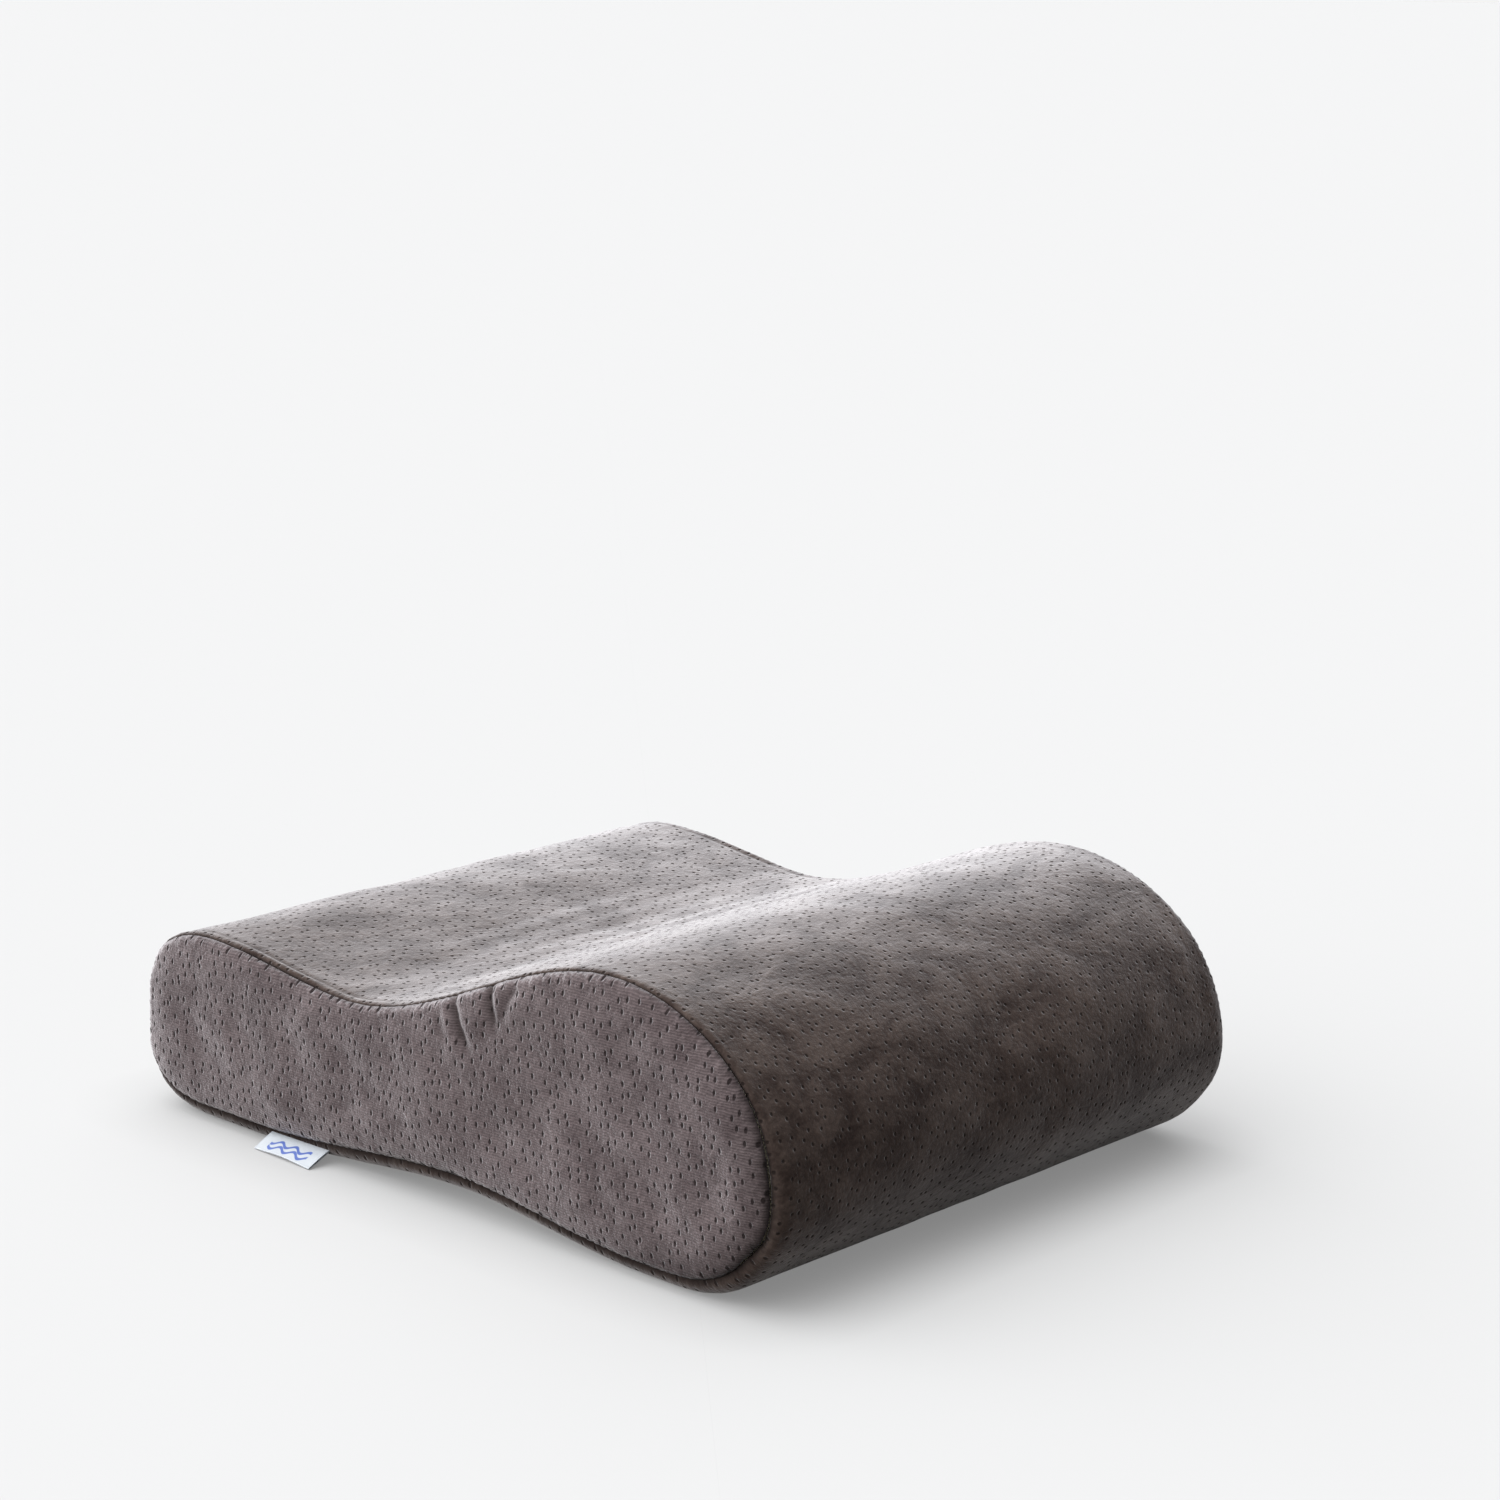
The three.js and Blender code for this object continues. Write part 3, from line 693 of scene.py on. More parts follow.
# %% Join the three into one closed skin
def closed_skin():
    wrap = wrap_points()
    faces = [tuple(f) for f in wrap_faces()]
    rows, columns = len(GIRTHS), len(WIDTHS)
    points = [wrap]
    maps = []
    total = len(wrap)
    for side, column in ((-1, 0), (1, columns - 1)):
        inner = END_FLAT[rows:]
        x = side * (SEAM_X + END_HEIGHT[rows:])
        points.append(np.column_stack([x, inner]))
        index = np.r_[np.arange(rows) * columns + column, total + np.arange(len(inner))]
        total += len(inner)
        maps.append(index)
        for a, b, c in END_FACES:
            face = (index[a], index[b], index[c])
            faces.append(face if side > 0 else face[::-1])
    return np.vstack(points), faces, maps


SKIN_REST, SKIN_FACES, END_MAPS = closed_skin()
skin = make_mesh("cover_skin", SKIN_REST, SKIN_FACES)
print("closed skin", len(SKIN_REST), "points")

# %% [markdown]
# ## Puff the skin with the cloth solver
# Foam pushes the cover out evenly, and seams and the resting feet hold it back. That is a low pressure
# inside a closed cloth, with gravity off. Seam points are held hard, everything else softly, because
# foam keeps its shape behind the cloth. Points may move a few millimetres at most.

# %% Cloth solve
FRAMES, PRESSURE = 20, 4.0
SOFT_HOLD = 0.22
LEAST_RISE, MOST_RISE, MOST_MOVE = -0.0009, 0.0022, 0.0025


def hold_weights(points):
    place = points[:, 1:]
    x = np.abs(points[:, 0])
    seam = np.exp(-((x - SEAM_X) / 0.0015) ** 2) * (np.abs(x - SEAM_X) < 0.0006)
    feet = smooth_step(0.0035, 0.0005, points[:, 2])
    zip_gap = (np.abs(place[:, 1] - ZIP_HEIGHT) < 0.012) & (place[:, 0] > 0.14) & (x < 0.115)
    return np.clip(np.maximum.reduce([seam, feet, zip_gap * 1.0, np.full(len(points), SOFT_HOLD)]), 0, 1)


def puff(piece, weights):
    group = piece.vertex_groups.new(name="held")
    for level in np.unique(np.round(weights, 2)):
        index = np.nonzero(np.round(weights, 2) == level)[0].tolist()
        group.add(index, float(level), "REPLACE")
    cloth = piece.modifiers.new("puff", "CLOTH")
    settings = {
        "quality": 5, "mass": 0.25, "tension_stiffness": 18, "compression_stiffness": 12,
        "shear_stiffness": 6, "bending_stiffness": 4.0, "use_pressure": True,
        "uniform_pressure_force": PRESSURE, "vertex_group_mass": "held", "pin_stiffness": 1.0,
        "shrink_min": -0.004}
    for key, value in settings.items():
        setattr(cloth.settings, key, value)
    cloth.settings.effector_weights.gravity = 0
    cloth.point_cache.frame_start = 1
    cloth.point_cache.frame_end = FRAMES
    scene = bpy.context.scene
    for number in range(1, FRAMES + 1):
        scene.frame_set(number)
    select_only(piece)
    bpy.ops.object.modifier_apply(modifier=cloth.name)
    scene.frame_set(1)
    return get_points(piece)


def skin_neighbours():
    pairs = set()
    for face in SKIN_FACES:
        for a, b in zip(face, tuple(face[1:]) + (face[0],)):
            pairs.add((min(a, b), max(a, b)))
    return np.array(sorted(pairs))


def even_out(values, pairs, rounds):
    degree = np.bincount(pairs.ravel(), minlength=len(values)).astype(float)
    for _ in range(rounds):
        total = np.zeros_like(values)
        np.add.at(total, pairs[:, 0], values[pairs[:, 1]])
        np.add.at(total, pairs[:, 1], values[pairs[:, 0]])
        values = values * 0.4 + total / degree[:, None] * 0.6
    return values


out = get_points(skin, "normal")
moved = puff(skin, hold_weights(SKIN_REST)) - SKIN_REST
length = np.linalg.norm(moved, axis=1)
print("cloth moved, mean and most in mm:", in_mm(length.mean()), in_mm(length.max()))
moved = even_out(moved, skin_neighbours(), 4)
rise = np.sum(moved * out, axis=1)
moved += out * (np.clip(rise, LEAST_RISE, MOST_RISE) - rise)[:, None]
length = np.linalg.norm(moved, axis=1)
moved *= np.minimum(1, MOST_MOVE / np.maximum(length, 1e-9))[:, None]
SKIN = SKIN_REST + moved
print("rise before the cap in mm:", in_mm(rise.min()), "to", in_mm(rise.max()))
bpy.data.objects.remove(skin)

# %% [markdown]
# ## Waves of numbers for wrinkles
# Real cloth is never perfectly even. A handful of seeded sine waves added up gives soft, repeatable
# unevenness with a chosen length along and across, which is quicker than a noise lookup per point.

# %% Soft unevenness
WAVES = 14


def ripples(u, v, length_u, length_v, seed):
    pick = np.random.default_rng(seed)
    total = np.zeros(np.shape(u))
    for _ in range(WAVES):
        a = pick.normal() * 2 * np.pi / length_u * 0.75
        b = pick.normal() * 2 * np.pi / length_v * 0.75
        total += np.sin(a * u + b * v + pick.uniform(0, 2 * np.pi))
    return total / math.sqrt(WAVES / 2)

# %% [markdown]
# ## The wrap panel
# The skin's grid becomes the long panel. It gets one smoothing subdivision, then the marks of sewing:
# a groove at each seam, the soft ridge of the turned-in allowance beside it, and small puckers
# between stitches. The slot for the zip is opened in the back, and Solidify gives the cloth its body.

# %% Build the wrap from the skin
def cloth_uv(piece, pairs):
    layer = piece.data.uv_layers.new(name="cloth")
    layer.data.foreach_set("uv", np.asarray(pairs, np.float32).ravel())


def wrap_mesh():
    columns = len(WIDTHS)
    faces = wrap_faces()
    girth = np.r_[GIRTHS, GIRTH]
    i, j = np.divmod(faces[:, 0], columns)
    across = cloth_widths()
    corner_s = np.stack([girth[i], girth[i + 1], girth[i + 1], girth[i]], 1)
    corner_x = np.stack([across[j], across[j], across[j + 1], across[j + 1]], 1)
    middle_s, middle_x = corner_s.mean(1), np.abs(WIDTHS[j] + WIDTHS[j + 1]) / 2
    keep = (middle_s < girth_to(SLOT_LOW)) | (middle_s > girth_to(SLOT_HIGH)) | (middle_x > SLOT_HALF)
    piece = make_mesh("wrap_cover", SKIN[:len(GIRTHS) * columns], faces[keep])
    cloth_uv(piece, np.stack([corner_s, corner_x], 2)[keep])
    print("slot opened:", int((~keep).sum()), "faces left out")
    return piece


def cloth_widths():
    step = np.hypot(np.diff(WIDTHS), np.diff(INSETS) * 0.0025)
    along = np.r_[0, np.cumsum(step)]
    return along - along[-1] / 2


CLOTH_HALF = cloth_widths()[-1]
wrap_cover = wrap_mesh()
smooth_once(wrap_cover, {"uv_smooth": "PRESERVE_BOUNDARIES", "boundary_smooth": "PRESERVE_CORNERS"})
print("wrap after subdivision", len(wrap_cover.data.vertices), "points")

# %% Sewing marks and wrinkles of the wrap
def vertex_uv(piece):
    loops = len(piece.data.loops)
    uv = np.zeros(loops * 2, np.float64)
    piece.data.uv_layers["cloth"].data.foreach_get("uv", uv)
    index = np.zeros(loops, np.int64)
    piece.data.loops.foreach_get("vertex_index", index)
    result = np.zeros((len(piece.data.vertices), 2))
    result[index] = uv.reshape(-1, 2)
    return result


STITCH = 0.0032


def seam_marks(s, edge, ridged):
    groove = -0.0007 * hump(edge, 0, 0.0009)
    ridge = ridged * 0.00030 * hump(edge, 0.0026, 0.0012)
    valley = ridged * -0.00030 * hump(edge, 0.0050, 0.0010)
    pucker = 0.00022 * np.cos(2 * np.pi * s / STITCH) * hump(edge, 0, 0.0026)
    uneven = 1 + 0.35 * ripples(s, s * 0, 0.03, 1.0, 5)
    return (groove + ridge + valley) * uneven + pucker


def dip_share(points):
    return hump(points[:, 1], 0.030, 0.038) * smooth_step(0.03, 0.05, points[:, 2])


def finish_wrap_shape(piece):
    points, normals, uv = get_points(piece), get_points(piece, "normal"), vertex_uv(piece)
    s, w = uv[:, 0], uv[:, 1]
    edge = np.clip(CLOTH_HALF - np.abs(w), 0, None)
    free = smooth_step(0.0, 0.02, edge)
    ridged = 0.25 + 0.75 * smooth_step(-0.01, 0.05, points[:, 1])
    lift = seam_marks(s, edge, ridged)
    lift += 0.00032 * ripples(s, w, 0.055, 0.09, 11) * free
    lift += 0.00022 * ripples(s, w, 0.016, 0.11, 12) * free * dip_share(points)
    from_zip = np.abs(points[:, 2] - ZIP_HEIGHT)
    back = smooth_step(0.145, 0.153, points[:, 1]) * smooth_step(0.02, 0.012, from_zip)
    lift *= 1 - back * smooth_step(0.118, 0.112, np.abs(points[:, 0]))
    off_slot = np.maximum(np.abs(points[:, 0]) - SLOT_HALF, from_zip - 0.0045)
    lift -= 0.0005 * back * smooth_step(0.0016, 0.0, off_slot)
    low = smooth_step(0.016, 0.003, points[:, 2])
    lift *= 1 - 0.95 * low
    points = points + normals * lift[:, None]
    points[:, 2] = np.maximum(points[:, 2], 0.0002)
    set_points(piece, points)


def paint_crease_shade(piece, values):
    layer = piece.data.attributes.new("painted_crease_shade", "FLOAT", "POINT")
    layer.data.foreach_set("value", np.clip(values, 0, 1).astype(np.float32))


def paint_wrap_crease_shade(piece):
    points, uv = get_points(piece), vertex_uv(piece)
    edge = np.clip(CLOTH_HALF - np.abs(uv[:, 1]), 0, None)
    low_lobe = smooth_step(0.0, 0.05, points[:, 1])
    # Painted shade in the seam groove, and in the valley beside the allowance ridge on the low lobe.
    paint_crease_shade(piece, 0.95 * hump(edge, 0, 0.0012) + 0.32 * low_lobe * hump(edge, 0.0050, 0.0008))


finish_wrap_shape(wrap_cover)
paint_wrap_crease_shade(wrap_cover)

# %% Give the wrap its thickness
WRAP_BODY, END_BODY, RIBBON = 0.0024, 0.0022, 0.00024


def thicken(piece, thickness):
    wall = piece.modifiers.new("cloth_body", "SOLIDIFY")
    wall.thickness = thickness
    wall.offset = -1
    wall.use_even_offset = False
    apply_modifiers(piece)
    bpy.ops.object.shade_smooth()


thicken(wrap_cover, WRAP_BODY)
finish_piece(wrap_cover, WRAP_VELOUR, "cover", "wrap_velour", "wrap_panel")

# %% [markdown]
# ## The end panels
# Each end is one flat cut of velour, crowned by the foam behind it. Where the long wrap has to bend hard
# round the rise of the high lobe there is cloth to spare, and on the near end it gathers in four short
# puckers under the seam. They are modelled so that they catch the light, and painted shade darkens their
# folds too.

# %% Puckers and seam of an end
PUCKERS = [
    ((-0.0097, 0.0735), (-0.0194, 0.0590), 0.0019, 0.0021),
    ((-0.0263, 0.0825), (-0.0320, 0.0690), 0.0017, 0.0022),
    ((-0.0385, 0.0850), (-0.0345, 0.0720), 0.0010, 0.0022),
    ((-0.0030, 0.0690), (-0.0095, 0.0600), 0.0006, 0.0024),
]


def pucker_lift(place):
    total = np.zeros(len(place))
    shade = np.zeros(len(place))
    for start, end, depth, width in PUCKERS:
        start, end = np.array(start), np.array(end)
        line = end - start
        t = (place - start) @ line / (line @ line)
        side = (place - start) @ np.array([line[1], -line[0]]) / np.linalg.norm(line)
        side = side + 0.0009 * np.sin(t * 2.6)
        fade = smooth_step(-0.25, 0.1, t) * smooth_step(1.15, 0.6, t)
        total += fade * (-depth * hump(side, 0, width))
        total += fade * depth * 0.16 * hump(np.abs(side), width * 3.0, width * 2.2)
        # Painted shade along the fold line of each pucker.
        shade += fade * min(1.0, depth / 0.0017) * hump(side, 0, width * 0.95)
    return total, shade


def end_mesh(side):
    index = END_MAPS[0 if side < 0 else 1]
    points = SKIN[index].copy()
    count = len(GIRTHS)
    points[:count, 0] = side * (SEAM_X + 0.0005)
    faces = [tuple(f) if side > 0 else tuple(f[::-1]) for f in END_FACES]
    return make_mesh("end_cover_left" if side < 0 else "end_cover_right", points, faces)


def finish_end_shape(piece, side):
    points, normals = get_points(piece), get_points(piece, "normal")
    place = points[:, 1:]
    s_fine, rim = seam_line()
    gap, which = nearest_on(rim, place)
    lift = -0.0004 * hump(gap, 0, 0.0007) + 0.0005 * hump(gap, 0.0020, 0.0014)
    lift += 0.0002 * np.cos(2 * np.pi * s_fine[which] / STITCH) * hump(gap, 0, 0.003)
    lift += 0.00035 * ripples(place[:, 0], place[:, 1], 0.05, 0.04, 21 + side) * smooth_step(0.0, 0.02, gap)
    low_front = smooth_step(-0.06, -0.12, place[:, 0]) * smooth_step(0.085, 0.055, place[:, 1])
    # Painted shade: dark in the seam groove, and a soft dark band beside the seam on the lower front.
    shade = 0.55 * hump(gap, 0, 0.0008) + 0.50 * low_front * hump(gap, 0, 0.0080)
    if side < 0:
        pucker, dark = pucker_lift(place)
        lift += pucker
        # The puckers' painted shade is added to the near end's shade mask.
        shade += 0.9 * dark
    set_points(piece, points + normals * lift[:, None])
    paint_crease_shade(piece, shade)


def make_end(side, node):
    piece = end_mesh(side)
    smooth_once(piece)
    finish_end_shape(piece, side)
    thicken(piece, END_BODY)
    finish_piece(piece, END_VELOUR, "cover", "end_velour", node)


make_end(-1, "end_panel_left")
make_end(1, "end_panel_right")

# %% [markdown]
# ## The foam inside
# The block is cut from slow foam on a contour saw, so it is one smooth solid, a cloth's thickness inside the
# cover. It is what the cover is shaped by. Rings of the outline, each a little smaller than the cloth, are
# bridged into a solid and closed with a face at each end. Only a thin strip shows, through the slot between
# the rows of teeth, so painted shade darkens the foam there and no pale line shows.

# %% Foam finish
def make_foam_finish():
    material, tree, shader = new_material("slow_foam")
    place = object_place(tree)
    cells = add_node(tree, "ShaderNodeTexVoronoi", {"feature": "F1"}, Vector=place, Scale=900.0)
    pores = remap(tree, cells.outputs["Distance"], 0.15, 0.6, 0.0, 1.0)
    age = noise(tree, place, 18.0, 4.0, 0.6)
    base = blend(tree, age, paint(236, 229, 206), paint(214, 202, 168))
    base = tone_by(tree, base, fit(tree, pores, 0.0, 1.0, 1.0, 0.72))
    part = apart(tree, place)
    from_zip = maths(tree, "ABSOLUTE", maths(tree, "SUBTRACT", part[2], ZIP_HEIGHT))
    # Painted shade: the foam turns dark right behind the zip slot, where the gap between the teeth rows lies
    # in shade.
    painted_shade_behind_zip = remap(tree, from_zip, 0.004, 0.012, 1.0, 0.0)
    painted_shade_behind_zip = times(tree, painted_shade_behind_zip, remap(tree, part[1], 0.130, 0.140, 0.0, 1.0))
    base = blend(tree, times(tree, painted_shade_behind_zip, 0.94), base, paint(44, 37, 35))
    roughness = fit(tree, pores, 0.0, 1.0, 0.8, 0.98)
    return wire(material, shader, base, roughness, bump_from(tree, pores, 0.0004, inverted=True))


FOAM_FINISH = make_foam_finish()

# %% Foam block
RING = 220
INNER_STATIONS = [(x, 0.0034) for x in (-0.1120, -0.08, -0.04, 0, 0.04, 0.08, 0.1120)]
ROUND_END = [(0.1155, 0.0038), (0.1174, 0.0050), (0.1180, 0.0072)]


def make_foam_block():
    place, out = outline_at(np.linspace(0, GIRTH, RING, endpoint=False))
    stations = [(-x, inset) for x, inset in ROUND_END[::-1]] + INNER_STATIONS + ROUND_END
    from_zip = np.abs(place[:, 1] - ZIP_HEIGHT)
    at_zip = smooth_step(0.145, 0.15, place[:, 0]) * smooth_step(0.016, 0.012, from_zip)
    rings = []
    for x, inset in stations:
        ring = place - out * inset
        ring[:, 0] -= at_zip * 0.0042
        rings.append(np.column_stack([np.full(RING, x), ring]))
    faces = []
    for base in range(0, RING * (len(stations) - 1), RING):
        for i in range(RING):
            j = (i + 1) % RING
            faces.append((base + i, base + j, base + RING + j, base + RING + i))
    last = (len(stations) - 1) * RING
    faces += [tuple(range(RING))[::-1], tuple(range(last, last + RING))]
    piece = make_mesh("foam_block", np.vstack(rings), faces)
    face_outward(piece, 50)
    finish_piece(piece, FOAM_FINISH, "cover", "foam", "foam_core")


make_foam_block()

# %% [markdown]
# ## Thread
# The seams are closed with twisted polyester. One stitch is modelled as a short rounded length that dips
# at both ends, where the needle went in, and is copied along its seam.

# %% Thread finish
def make_thread_finish():
    material, tree, shader = new_material("twisted_thread")
    place = object_place(tree)
    part = apart(tree, place)
    lay = maths(tree, "ADD", part[0], maths(tree, "ADD", part[1], part[2]))
    twist = fit(tree, sine(tree, lay, 2 * math.pi / 0.0007), -1.0, 1.0, 0.0, 1.0)
    wear = noise(tree, place, 260.0, 3.0, 0.6)
    base = blend(tree, twist, paint(52, 43, 41), paint(92, 80, 76))
    base = tone_by(tree, base, fit(tree, wear, 0.3, 0.7, 0.8, 1.2))
    roughness, normal = fit(tree, wear, 0.3, 0.7, 0.5, 0.75), bump_from(tree, twist, 0.00012, 0.8)
    return wire(material, shader, base, roughness, normal, {"Sheen Weight": 0.2})


THREAD = make_thread_finish()
THREAD_RADIUS = 0.00030

# %% One stitch, and a row of them
def make_one_stitch(length):
    bpy.ops.object.select_all(action="DESELECT")
    bpy.ops.mesh.primitive_cylinder_add(
        vertices=6, radius=THREAD_RADIUS, depth=length, rotation=(0, math.pi / 2, 0))
    stitch = bpy.context.active_object
    bpy.ops.object.transform_apply(location=True, rotation=True, scale=True)
    bpy.ops.object.mode_set(mode="EDIT")
    for cut in (-0.36, -0.12, 0.12, 0.36):
        bpy.ops.mesh.select_all(action="SELECT")
        bpy.ops.mesh.bisect(plane_co=(cut * length, 0, 0), plane_no=(1, 0, 0))
    bpy.ops.object.mode_set(mode="OBJECT")
    points = get_points(stitch)
    faces = [tuple(f.vertices) for f in stitch.data.polygons]
    bpy.data.objects.remove(stitch)
    bend = (np.abs(points[:, 0]) / (length / 2)) ** 2
    points[:, 2] -= THREAD_RADIUS * 1.5 * bend
    points[:, 1:] *= (1 - 0.35 * bend ** 2)[:, None]
    return points, faces


def sew(name, node, rows, length):
    shape, faces = make_one_stitch(length)
    stitches = []
    for centres, runs, ups in rows:
        for centre, run, side, up in zip(centres, runs, np.cross(ups, runs), ups):
            stitches.append(centre + shape[:, :1] * run + shape[:, 1:2] * side + shape[:, 2:] * up)
    starts = range(0, len(stitches) * len(shape), len(shape))
    all_faces = [tuple(start + i for i in face) for start in starts for face in faces]
    piece = make_mesh(name, np.vstack(stitches), all_faces)
    face_outward(piece, 60)
    finish_piece(piece, THREAD, "cover", "thread", node)

# %% Stitches of the two end seams
def at_width(flat, x):
    return np.column_stack([np.full(len(flat), x), flat])


def make_seam_stitches(name, node, side):
    count = int(round(GIRTH / STITCH))
    s = (np.arange(count) + 0.5) * GIRTH / count
    place, out = outline_at(s)
    run = unit(outline_at(s + 0.0005)[0] - outline_at(s - 0.0005)[0])
    centre = place - out * (seam_inset(s) + 0.0009)[:, None]
    ups = unit(at_width(out, side * 0.5))
    row = (at_width(centre, side * (SEAM_X + 0.0002)), at_width(run, 0.0), ups)
    sew(name, node, [row], STITCH * 0.82)


make_seam_stitches("seam_stitches_left", "seam_thread_left", -1)
make_seam_stitches("seam_stitches_right", "seam_thread_right", 1)

# %% [markdown]
# ## The zip in the back
# A nylon coil zip, sewn in behind a slot. Its tapes are woven, its teeth are one bent coil a side, and a
# row of topstitching and a bar tack at each end hold it. The slider and pull are die cast, so their edges
# are soft: a merged copy of each CAD piece gets its edges bevelled, which keeps its working sizes.

# %% Finishes of the zip
def make_tape_finish():
    material, tree, shader = new_material("woven_tape")
    place = object_place(tree)
    part = apart(tree, place)
    rise = maths(tree, "ABSOLUTE", maths(tree, "SUBTRACT", part[2], ZIP_HEIGHT))
    fold = maths(tree, "PINGPONG", rise, 0.0012)
    twill = sine(tree, maths(tree, "ADD", part[0], fold), 8400.0)
    picks = sine(tree, part[2], 12500.0)
    weave = times_plus(tree, twill, 0.35, times_plus(tree, picks, 0.15, 0.5))
    fade = noise(tree, place, 90.0, 3.0, 0.6)
    base = blend(tree, weave, paint(50, 43, 42), paint(88, 78, 75))
    base = tone_by(tree, base, fit(tree, fade, 0.3, 0.7, 0.85, 1.15))
    roughness, normal = fit(tree, weave, 0.0, 1.0, 0.85, 0.65), bump_from(tree, weave, 0.00016, 0.9)
    return wire(material, shader, base, roughness, normal, {"Sheen Weight": 0.15})


def make_hard_finish(name, dark, light, metal, rough, scale, wear):
    material, tree, shader = new_material(name)
    dark, light = paint(*dark), paint(*light)
    cast = noise(tree, object_place(tree), scale, 4.0, 0.6)
    edge = add_node(tree, "ShaderNodeNewGeometry").outputs["Pointiness"]
    worn = remap(tree, times_plus(tree, cast, 0.08, edge), 0.54, 0.62, 0.0, 1.0)
    base = blend(tree, cast, dark, light)
    base = blend(tree, times(tree, worn, wear), base, paint(196, 190, 182))
    roughness = fit(tree, cast, 0.3, 0.7, rough, rough + 0.2)
    return wire(material, shader, base, roughness, bump_from(tree, cast, 0.00008, 0.5), {"Metallic": metal})


TAPE_FINISH = make_tape_finish()
TEETH_FINISH = make_hard_finish("nylon_coil", (58, 50, 48), (82, 72, 69), 0.0, 0.32, 700.0, 0.06)
CAST_FINISH = make_hard_finish("die_cast_zip_metal", (70, 64, 62), (120, 112, 108), 1.0, 0.30, 420.0, 0.5)
STOP_FINISH = make_hard_finish("moulded_stop", (60, 52, 50), (86, 76, 72), 0.0, 0.38, 600.0, 0.06)

# %% Soft-edged copies of the hard zip pieces
def soft_edged_copy(node, name, edge, finish, body, slot):
    piece = add_object(name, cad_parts[node].data.copy())
    select_only(piece)
    bpy.ops.object.mode_set(mode="EDIT")
    bpy.ops.mesh.select_all(action="SELECT")
    bpy.ops.mesh.remove_doubles(threshold=1e-6)
    bpy.ops.mesh.dissolve_limited(angle_limit=math.radians(1))
    bpy.ops.object.mode_set(mode="OBJECT")
    soft = piece.modifiers.new("soft_edges", "BEVEL")
    soft.width = edge
    soft.segments = 2
    soft.limit_method = "ANGLE"
    soft.angle_limit = math.radians(35)
    apply_modifiers(piece)
    bpy.ops.object.shade_smooth_by_angle(angle=math.radians(40))
    piece.data.materials.clear()
    finish_piece(piece, finish, body, slot, node)


TAPE = (0.00012, TAPE_FINISH, "cover", "zip_tape")
STOP = (0.00025, STOP_FINISH, "cover", "zip_stop")
soft_edged_copy("zip_tape_lower", "tape_lower", *TAPE)
soft_edged_copy("zip_tape_upper", "tape_upper", *TAPE)
soft_edged_copy("zip_slider", "slider_body", 0.00012, CAST_FINISH, "slider", "zip_metal")
soft_edged_copy("zip_pull", "pull_tab", 0.00012, CAST_FINISH, "pull", "zip_metal")
soft_edged_copy("zip_top_stop_lower", "top_stop_lower", *STOP)
soft_edged_copy("zip_top_stop_upper", "top_stop_upper", *STOP)
soft_edged_copy("zip_bottom_stop", "bottom_stop", *STOP)

# %% Coils of teeth
COIL_PITCH = 0.0013


def make_coil(node, name, shift):
    low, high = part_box(node)
    middle_y, middle_z = (low.y + high.y) / 2, (low.z + high.z) / 2
    bpy.ops.object.select_all(action="DESELECT")
    bpy.ops.mesh.primitive_torus_add(
        major_segments=10, minor_segments=5, major_radius=1.0, minor_radius=0.30,
        rotation=(0, math.pi / 2, 0))
    coil = bpy.context.active_object
    coil.name = name
    bpy.ops.object.transform_apply(location=True, rotation=True, scale=True)
    points = get_points(coil)
    points *= (0.00115, (high.y - low.y) / 2.6, (high.z - low.z) / 2.6)
    points[:, 0] += points[:, 2] * 0.12
    set_points(coil, points + np.array([low.x + 0.0006 + shift, middle_y, middle_z]))
    row = coil.modifiers.new("row", "ARRAY")
    row.use_relative_offset = False
    row.use_constant_offset = True
    row.constant_offset_displace = (COIL_PITCH, 0, 0)
    row.count = int((high.x - low.x - 0.0016) / COIL_PITCH)
    apply_modifiers(coil)
    bpy.ops.object.shade_smooth()
    finish_piece(coil, TEETH_FINISH, "cover", "zip_teeth", node)


make_coil("zip_teeth_lower", "coil_lower", 0.0)
make_coil("zip_teeth_upper", "coil_upper", COIL_PITCH / 2)

# %% Topstitching and bar tacks
BACK_Y = float(OUTLINE[:, 0].max())
TOPSTITCH = 0.0033


def make_topstitch(name, node):
    low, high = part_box(node)
    x = np.arange(low.x + TOPSTITCH / 2, high.x, TOPSTITCH)
    flat = np.ones(len(x))
    runs, ups = np.outer(flat, (1, 0, 0)), np.outer(flat, (0, 1, 0))
    z = flat * (low.z + high.z) / 2
    outer = np.column_stack([x, flat * (BACK_Y + 0.00012), z])
    inner = np.column_stack([x + TOPSTITCH / 2, flat * (low.y + 0.0004), z])[:-1]
    sew(name, node, [(outer, runs, ups), (inner, runs[:-1], -ups[:-1])], 0.0027)


def make_bartack(name, node):
    low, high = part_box(node)
    z = np.arange(low.z + 0.0004, high.z - 0.0002, 0.00058)
    flat = np.ones(len(z))
    x = flat * (low.x + high.x) / 2
    lean = np.where(np.arange(len(z)) % 2, 0.06, -0.06)
    runs, ups = unit(np.column_stack([flat, flat * 0, lean])), np.outer(flat, (0, 1, 0))
    outer = np.column_stack([x, flat * (BACK_Y + 0.00015), z])
    inner = np.column_stack([x, flat * (low.y + 0.0004), z])
    sew(name, node, [(outer, runs, ups), (inner, runs, -ups)], high.x - low.x)


make_topstitch("topstitch_lower", "zip_stitch_lower")
make_topstitch("topstitch_upper", "zip_stitch_upper")
make_bartack("bar_tack_left", "zip_bartack_left")
make_bartack("bar_tack_right", "zip_bartack_right")

# %% [markdown]
# ## The side label
# A satin ribbon, folded once and caught in the near end's lower seam, so that a loop of it stands out and
# droops to the floor. It is a true sheet: one strip that runs out, round its fold and back. It carries a
# plain wave mark woven in blue, with no words.

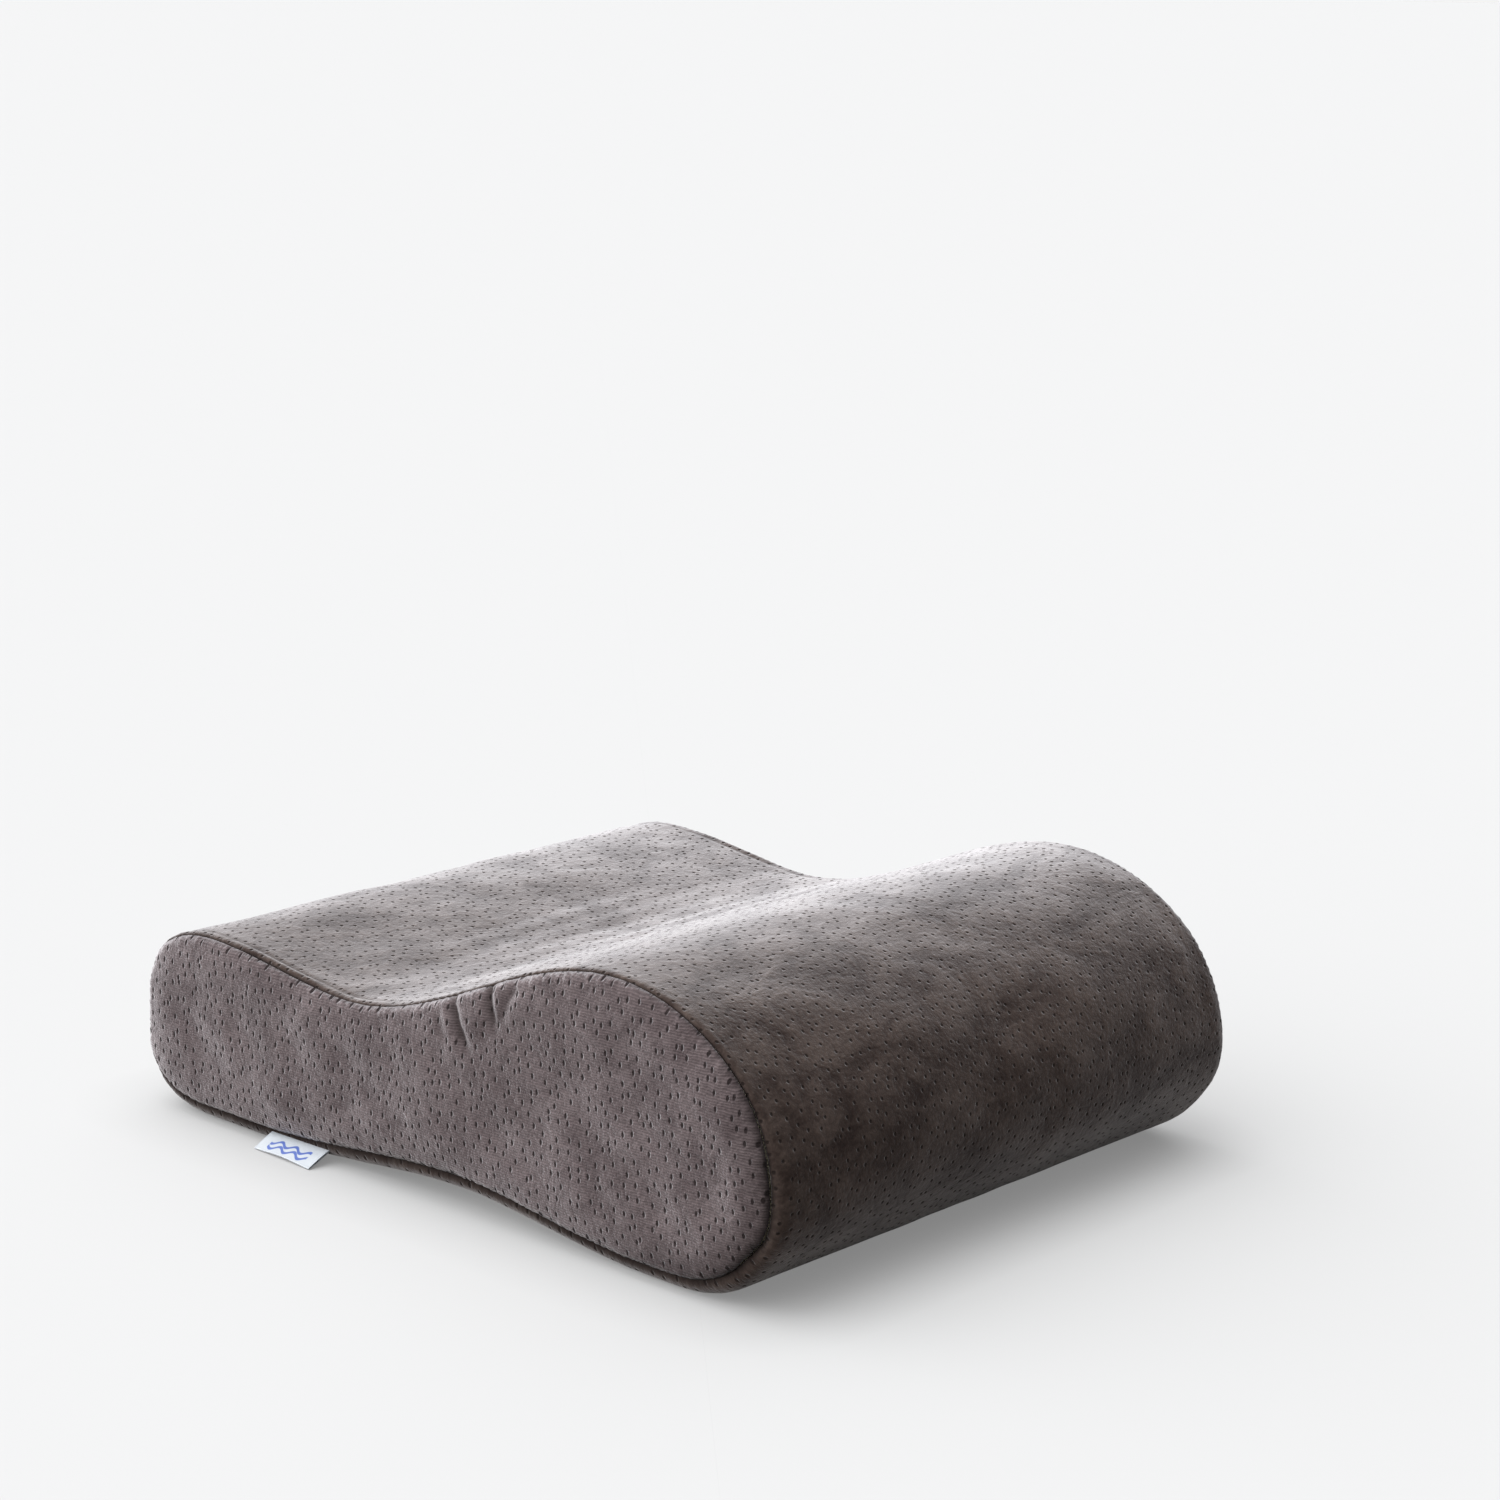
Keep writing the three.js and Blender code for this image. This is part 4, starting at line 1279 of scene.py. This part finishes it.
# %% Label finish
def wave_line(tree, u, v, centre, shift):
    wave = maths(tree, "SINE", times_plus(tree, v, 2 * math.pi / 0.0075, shift))
    gap = maths(tree, "ABSOLUTE", maths(tree, "SUBTRACT", times_plus(tree, wave, -0.0010, u), centre))
    return remap(tree, gap, 0.00048, 0.00080, 1.0, 0.0)


def make_label_finish():
    material, tree, shader = new_material("label_satin")
    strip = add_node(tree, "ShaderNodeUVMap", {"uv_map": "cloth"}).outputs[0]
    part = apart(tree, strip)
    u, v = part[0], part[1]
    from_middle = maths(tree, "ABSOLUTE", v)
    mark = maths(tree, "MAXIMUM", wave_line(tree, u, v, 0.0056, 0.0), wave_line(tree, u, v, 0.0080, 1.1))
    mark = times(tree, mark, remap(tree, from_middle, 0.0100, 0.0104, 1.0, 0.0))
    warp, weft = sine(tree, v, 2 * math.pi / 0.00032), sine(tree, u, 2 * math.pi / 0.00042)
    weave = times_plus(tree, warp, 0.3, times_plus(tree, weft, 0.2, 0.5))
    cloudy = noise(tree, strip, 160.0, 3.0, 0.6)
    base = blend(tree, cloudy, paint(166, 172, 179), paint(182, 187, 192))
    base = tone_by(tree, base, fit(tree, weave, 0.0, 1.0, 0.90, 1.02))
    selvedge = remap(tree, from_middle, 0.0140, 0.0144, 0.0, 0.25)
    base = blend(tree, selvedge, base, paint(140, 147, 155))
    base = blend(tree, times(tree, mark, 0.92), base, paint(6, 62, 150))
    roughness, normal = fit(tree, weave, 0.0, 1.0, 0.55, 0.38), bump_from(tree, weave, 0.00006, 0.6)
    return wire(material, shader, base, roughness, normal, {"Sheen Weight": 0.2})


LABEL_FINISH = make_label_finish()

# %% Folded ribbon of the label
FOLD = 0.00036


def make_label():
    low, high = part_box("side_label")
    root_x, tip_x = -0.1196, low.x - 0.0006
    top = [(root_x + (tip_x - root_x) * t, 0.0052 - 0.0040 * t ** 1.15) for t in np.linspace(0, 1, 14)]
    centre = (top[-1][0], top[-1][1] - FOLD)
    turn = np.linspace(0, math.pi, 7)[1:-1]
    fold = [(centre[0] - FOLD * math.sin(a), centre[1] + FOLD * math.cos(a)) for a in turn]
    under = [(x, z - 2 * FOLD - 0.0003 * math.sin(math.pi * i / 13)) for i, (x, z) in enumerate(top)][::-1]
    profile = np.array(top + fold + under)
    step = np.linalg.norm(np.diff(profile, axis=0), axis=1)
    along = np.r_[0, np.cumsum(step)]
    y = np.linspace(low.y + 0.0002, high.y - 0.0002, 25)
    middle = (y[0] + y[-1]) / 2
    reach = np.minimum(along, along[-1] - along) / (along[-1] / 2)
    points = []
    for (x, z), r in zip(profile, reach):
        curl = 0.00035 * r * np.cos((y - middle) / 0.0052)
        points.append(np.column_stack([x + 0.0004 * r * (y - middle) / 0.015, y, z + curl]))
    rows, columns = len(profile), len(y)
    faces = []
    pairs = []
    for i in range(rows - 1):
        for j in range(columns - 1):
            here, beyond = i * columns + j, (i + 1) * columns + j
            faces.append((here, here + 1, beyond + 1, beyond))
            a, b, c, d = along[i], along[i + 1], y[j] - middle, y[j + 1] - middle
            pairs += [(a, c), (a, d), (b, d), (b, c)]
    piece = make_mesh("folded_label", np.vstack(points), faces)
    cloth_uv(piece, pairs)
    thicken(piece, RIBBON)
    bpy.ops.object.shade_smooth_by_angle(angle=math.radians(50))
    finish_piece(piece, LABEL_FINISH, "cover", "label", "side_label")
    print("label ribbon", in_mm(y[-1] - y[0]), "x", in_mm(along[-1]), "mm")


make_label()

# %% [markdown]
# ## The floor
# One plain pale plane under the pillow. It belongs to the stage and isn't part of the object. The camera
# sees a pale tone with a painted contact shadow near the pillow. Other rays meet a darker floor, so it
# doesn't light the pillow's lower edges too much.

# %% Floor
def make_floor():
    bpy.ops.object.select_all(action="DESELECT")
    bpy.ops.mesh.primitive_plane_add(size=160, location=(0, 0, 0))
    floor = bpy.context.active_object
    floor.name = "studio_floor"
    material, tree, shader = new_material("studio_floor_paint")
    tree.nodes.remove(shader)
    out = next(n for n in tree.nodes if n.type == "OUTPUT_MATERIAL")
    pale = add_node(tree, "ShaderNodeBsdfDiffuse", None, Color=(0.27, 0.27, 0.27, 1))
    # Painted contact shadow: ambient occlusion dims the floor's glow close to the pillow.
    painted_contact_shadow = add_node(tree, "ShaderNodeAmbientOcclusion", {"samples": 8}, Distance=0.035).outputs["AO"]
    shade = fit(tree, painted_contact_shadow, 0.25, 1.0, 0.62, 1.0)
    glow = add_node(tree, "ShaderNodeEmission", None, Color=(0.36, 0.36, 0.36, 1), Strength=shade)
    seen = add_node(tree, "ShaderNodeAddShader", None, i0=pale.outputs[0], i1=glow.outputs[0])
    bounce = add_node(tree, "ShaderNodeBsdfDiffuse", None, Color=(0.20, 0.19, 0.18, 1))
    tree.links.new(mix_for_camera(tree, bounce, seen).outputs[0], out.inputs[0])
    floor.data.materials.append(material)


make_floor()
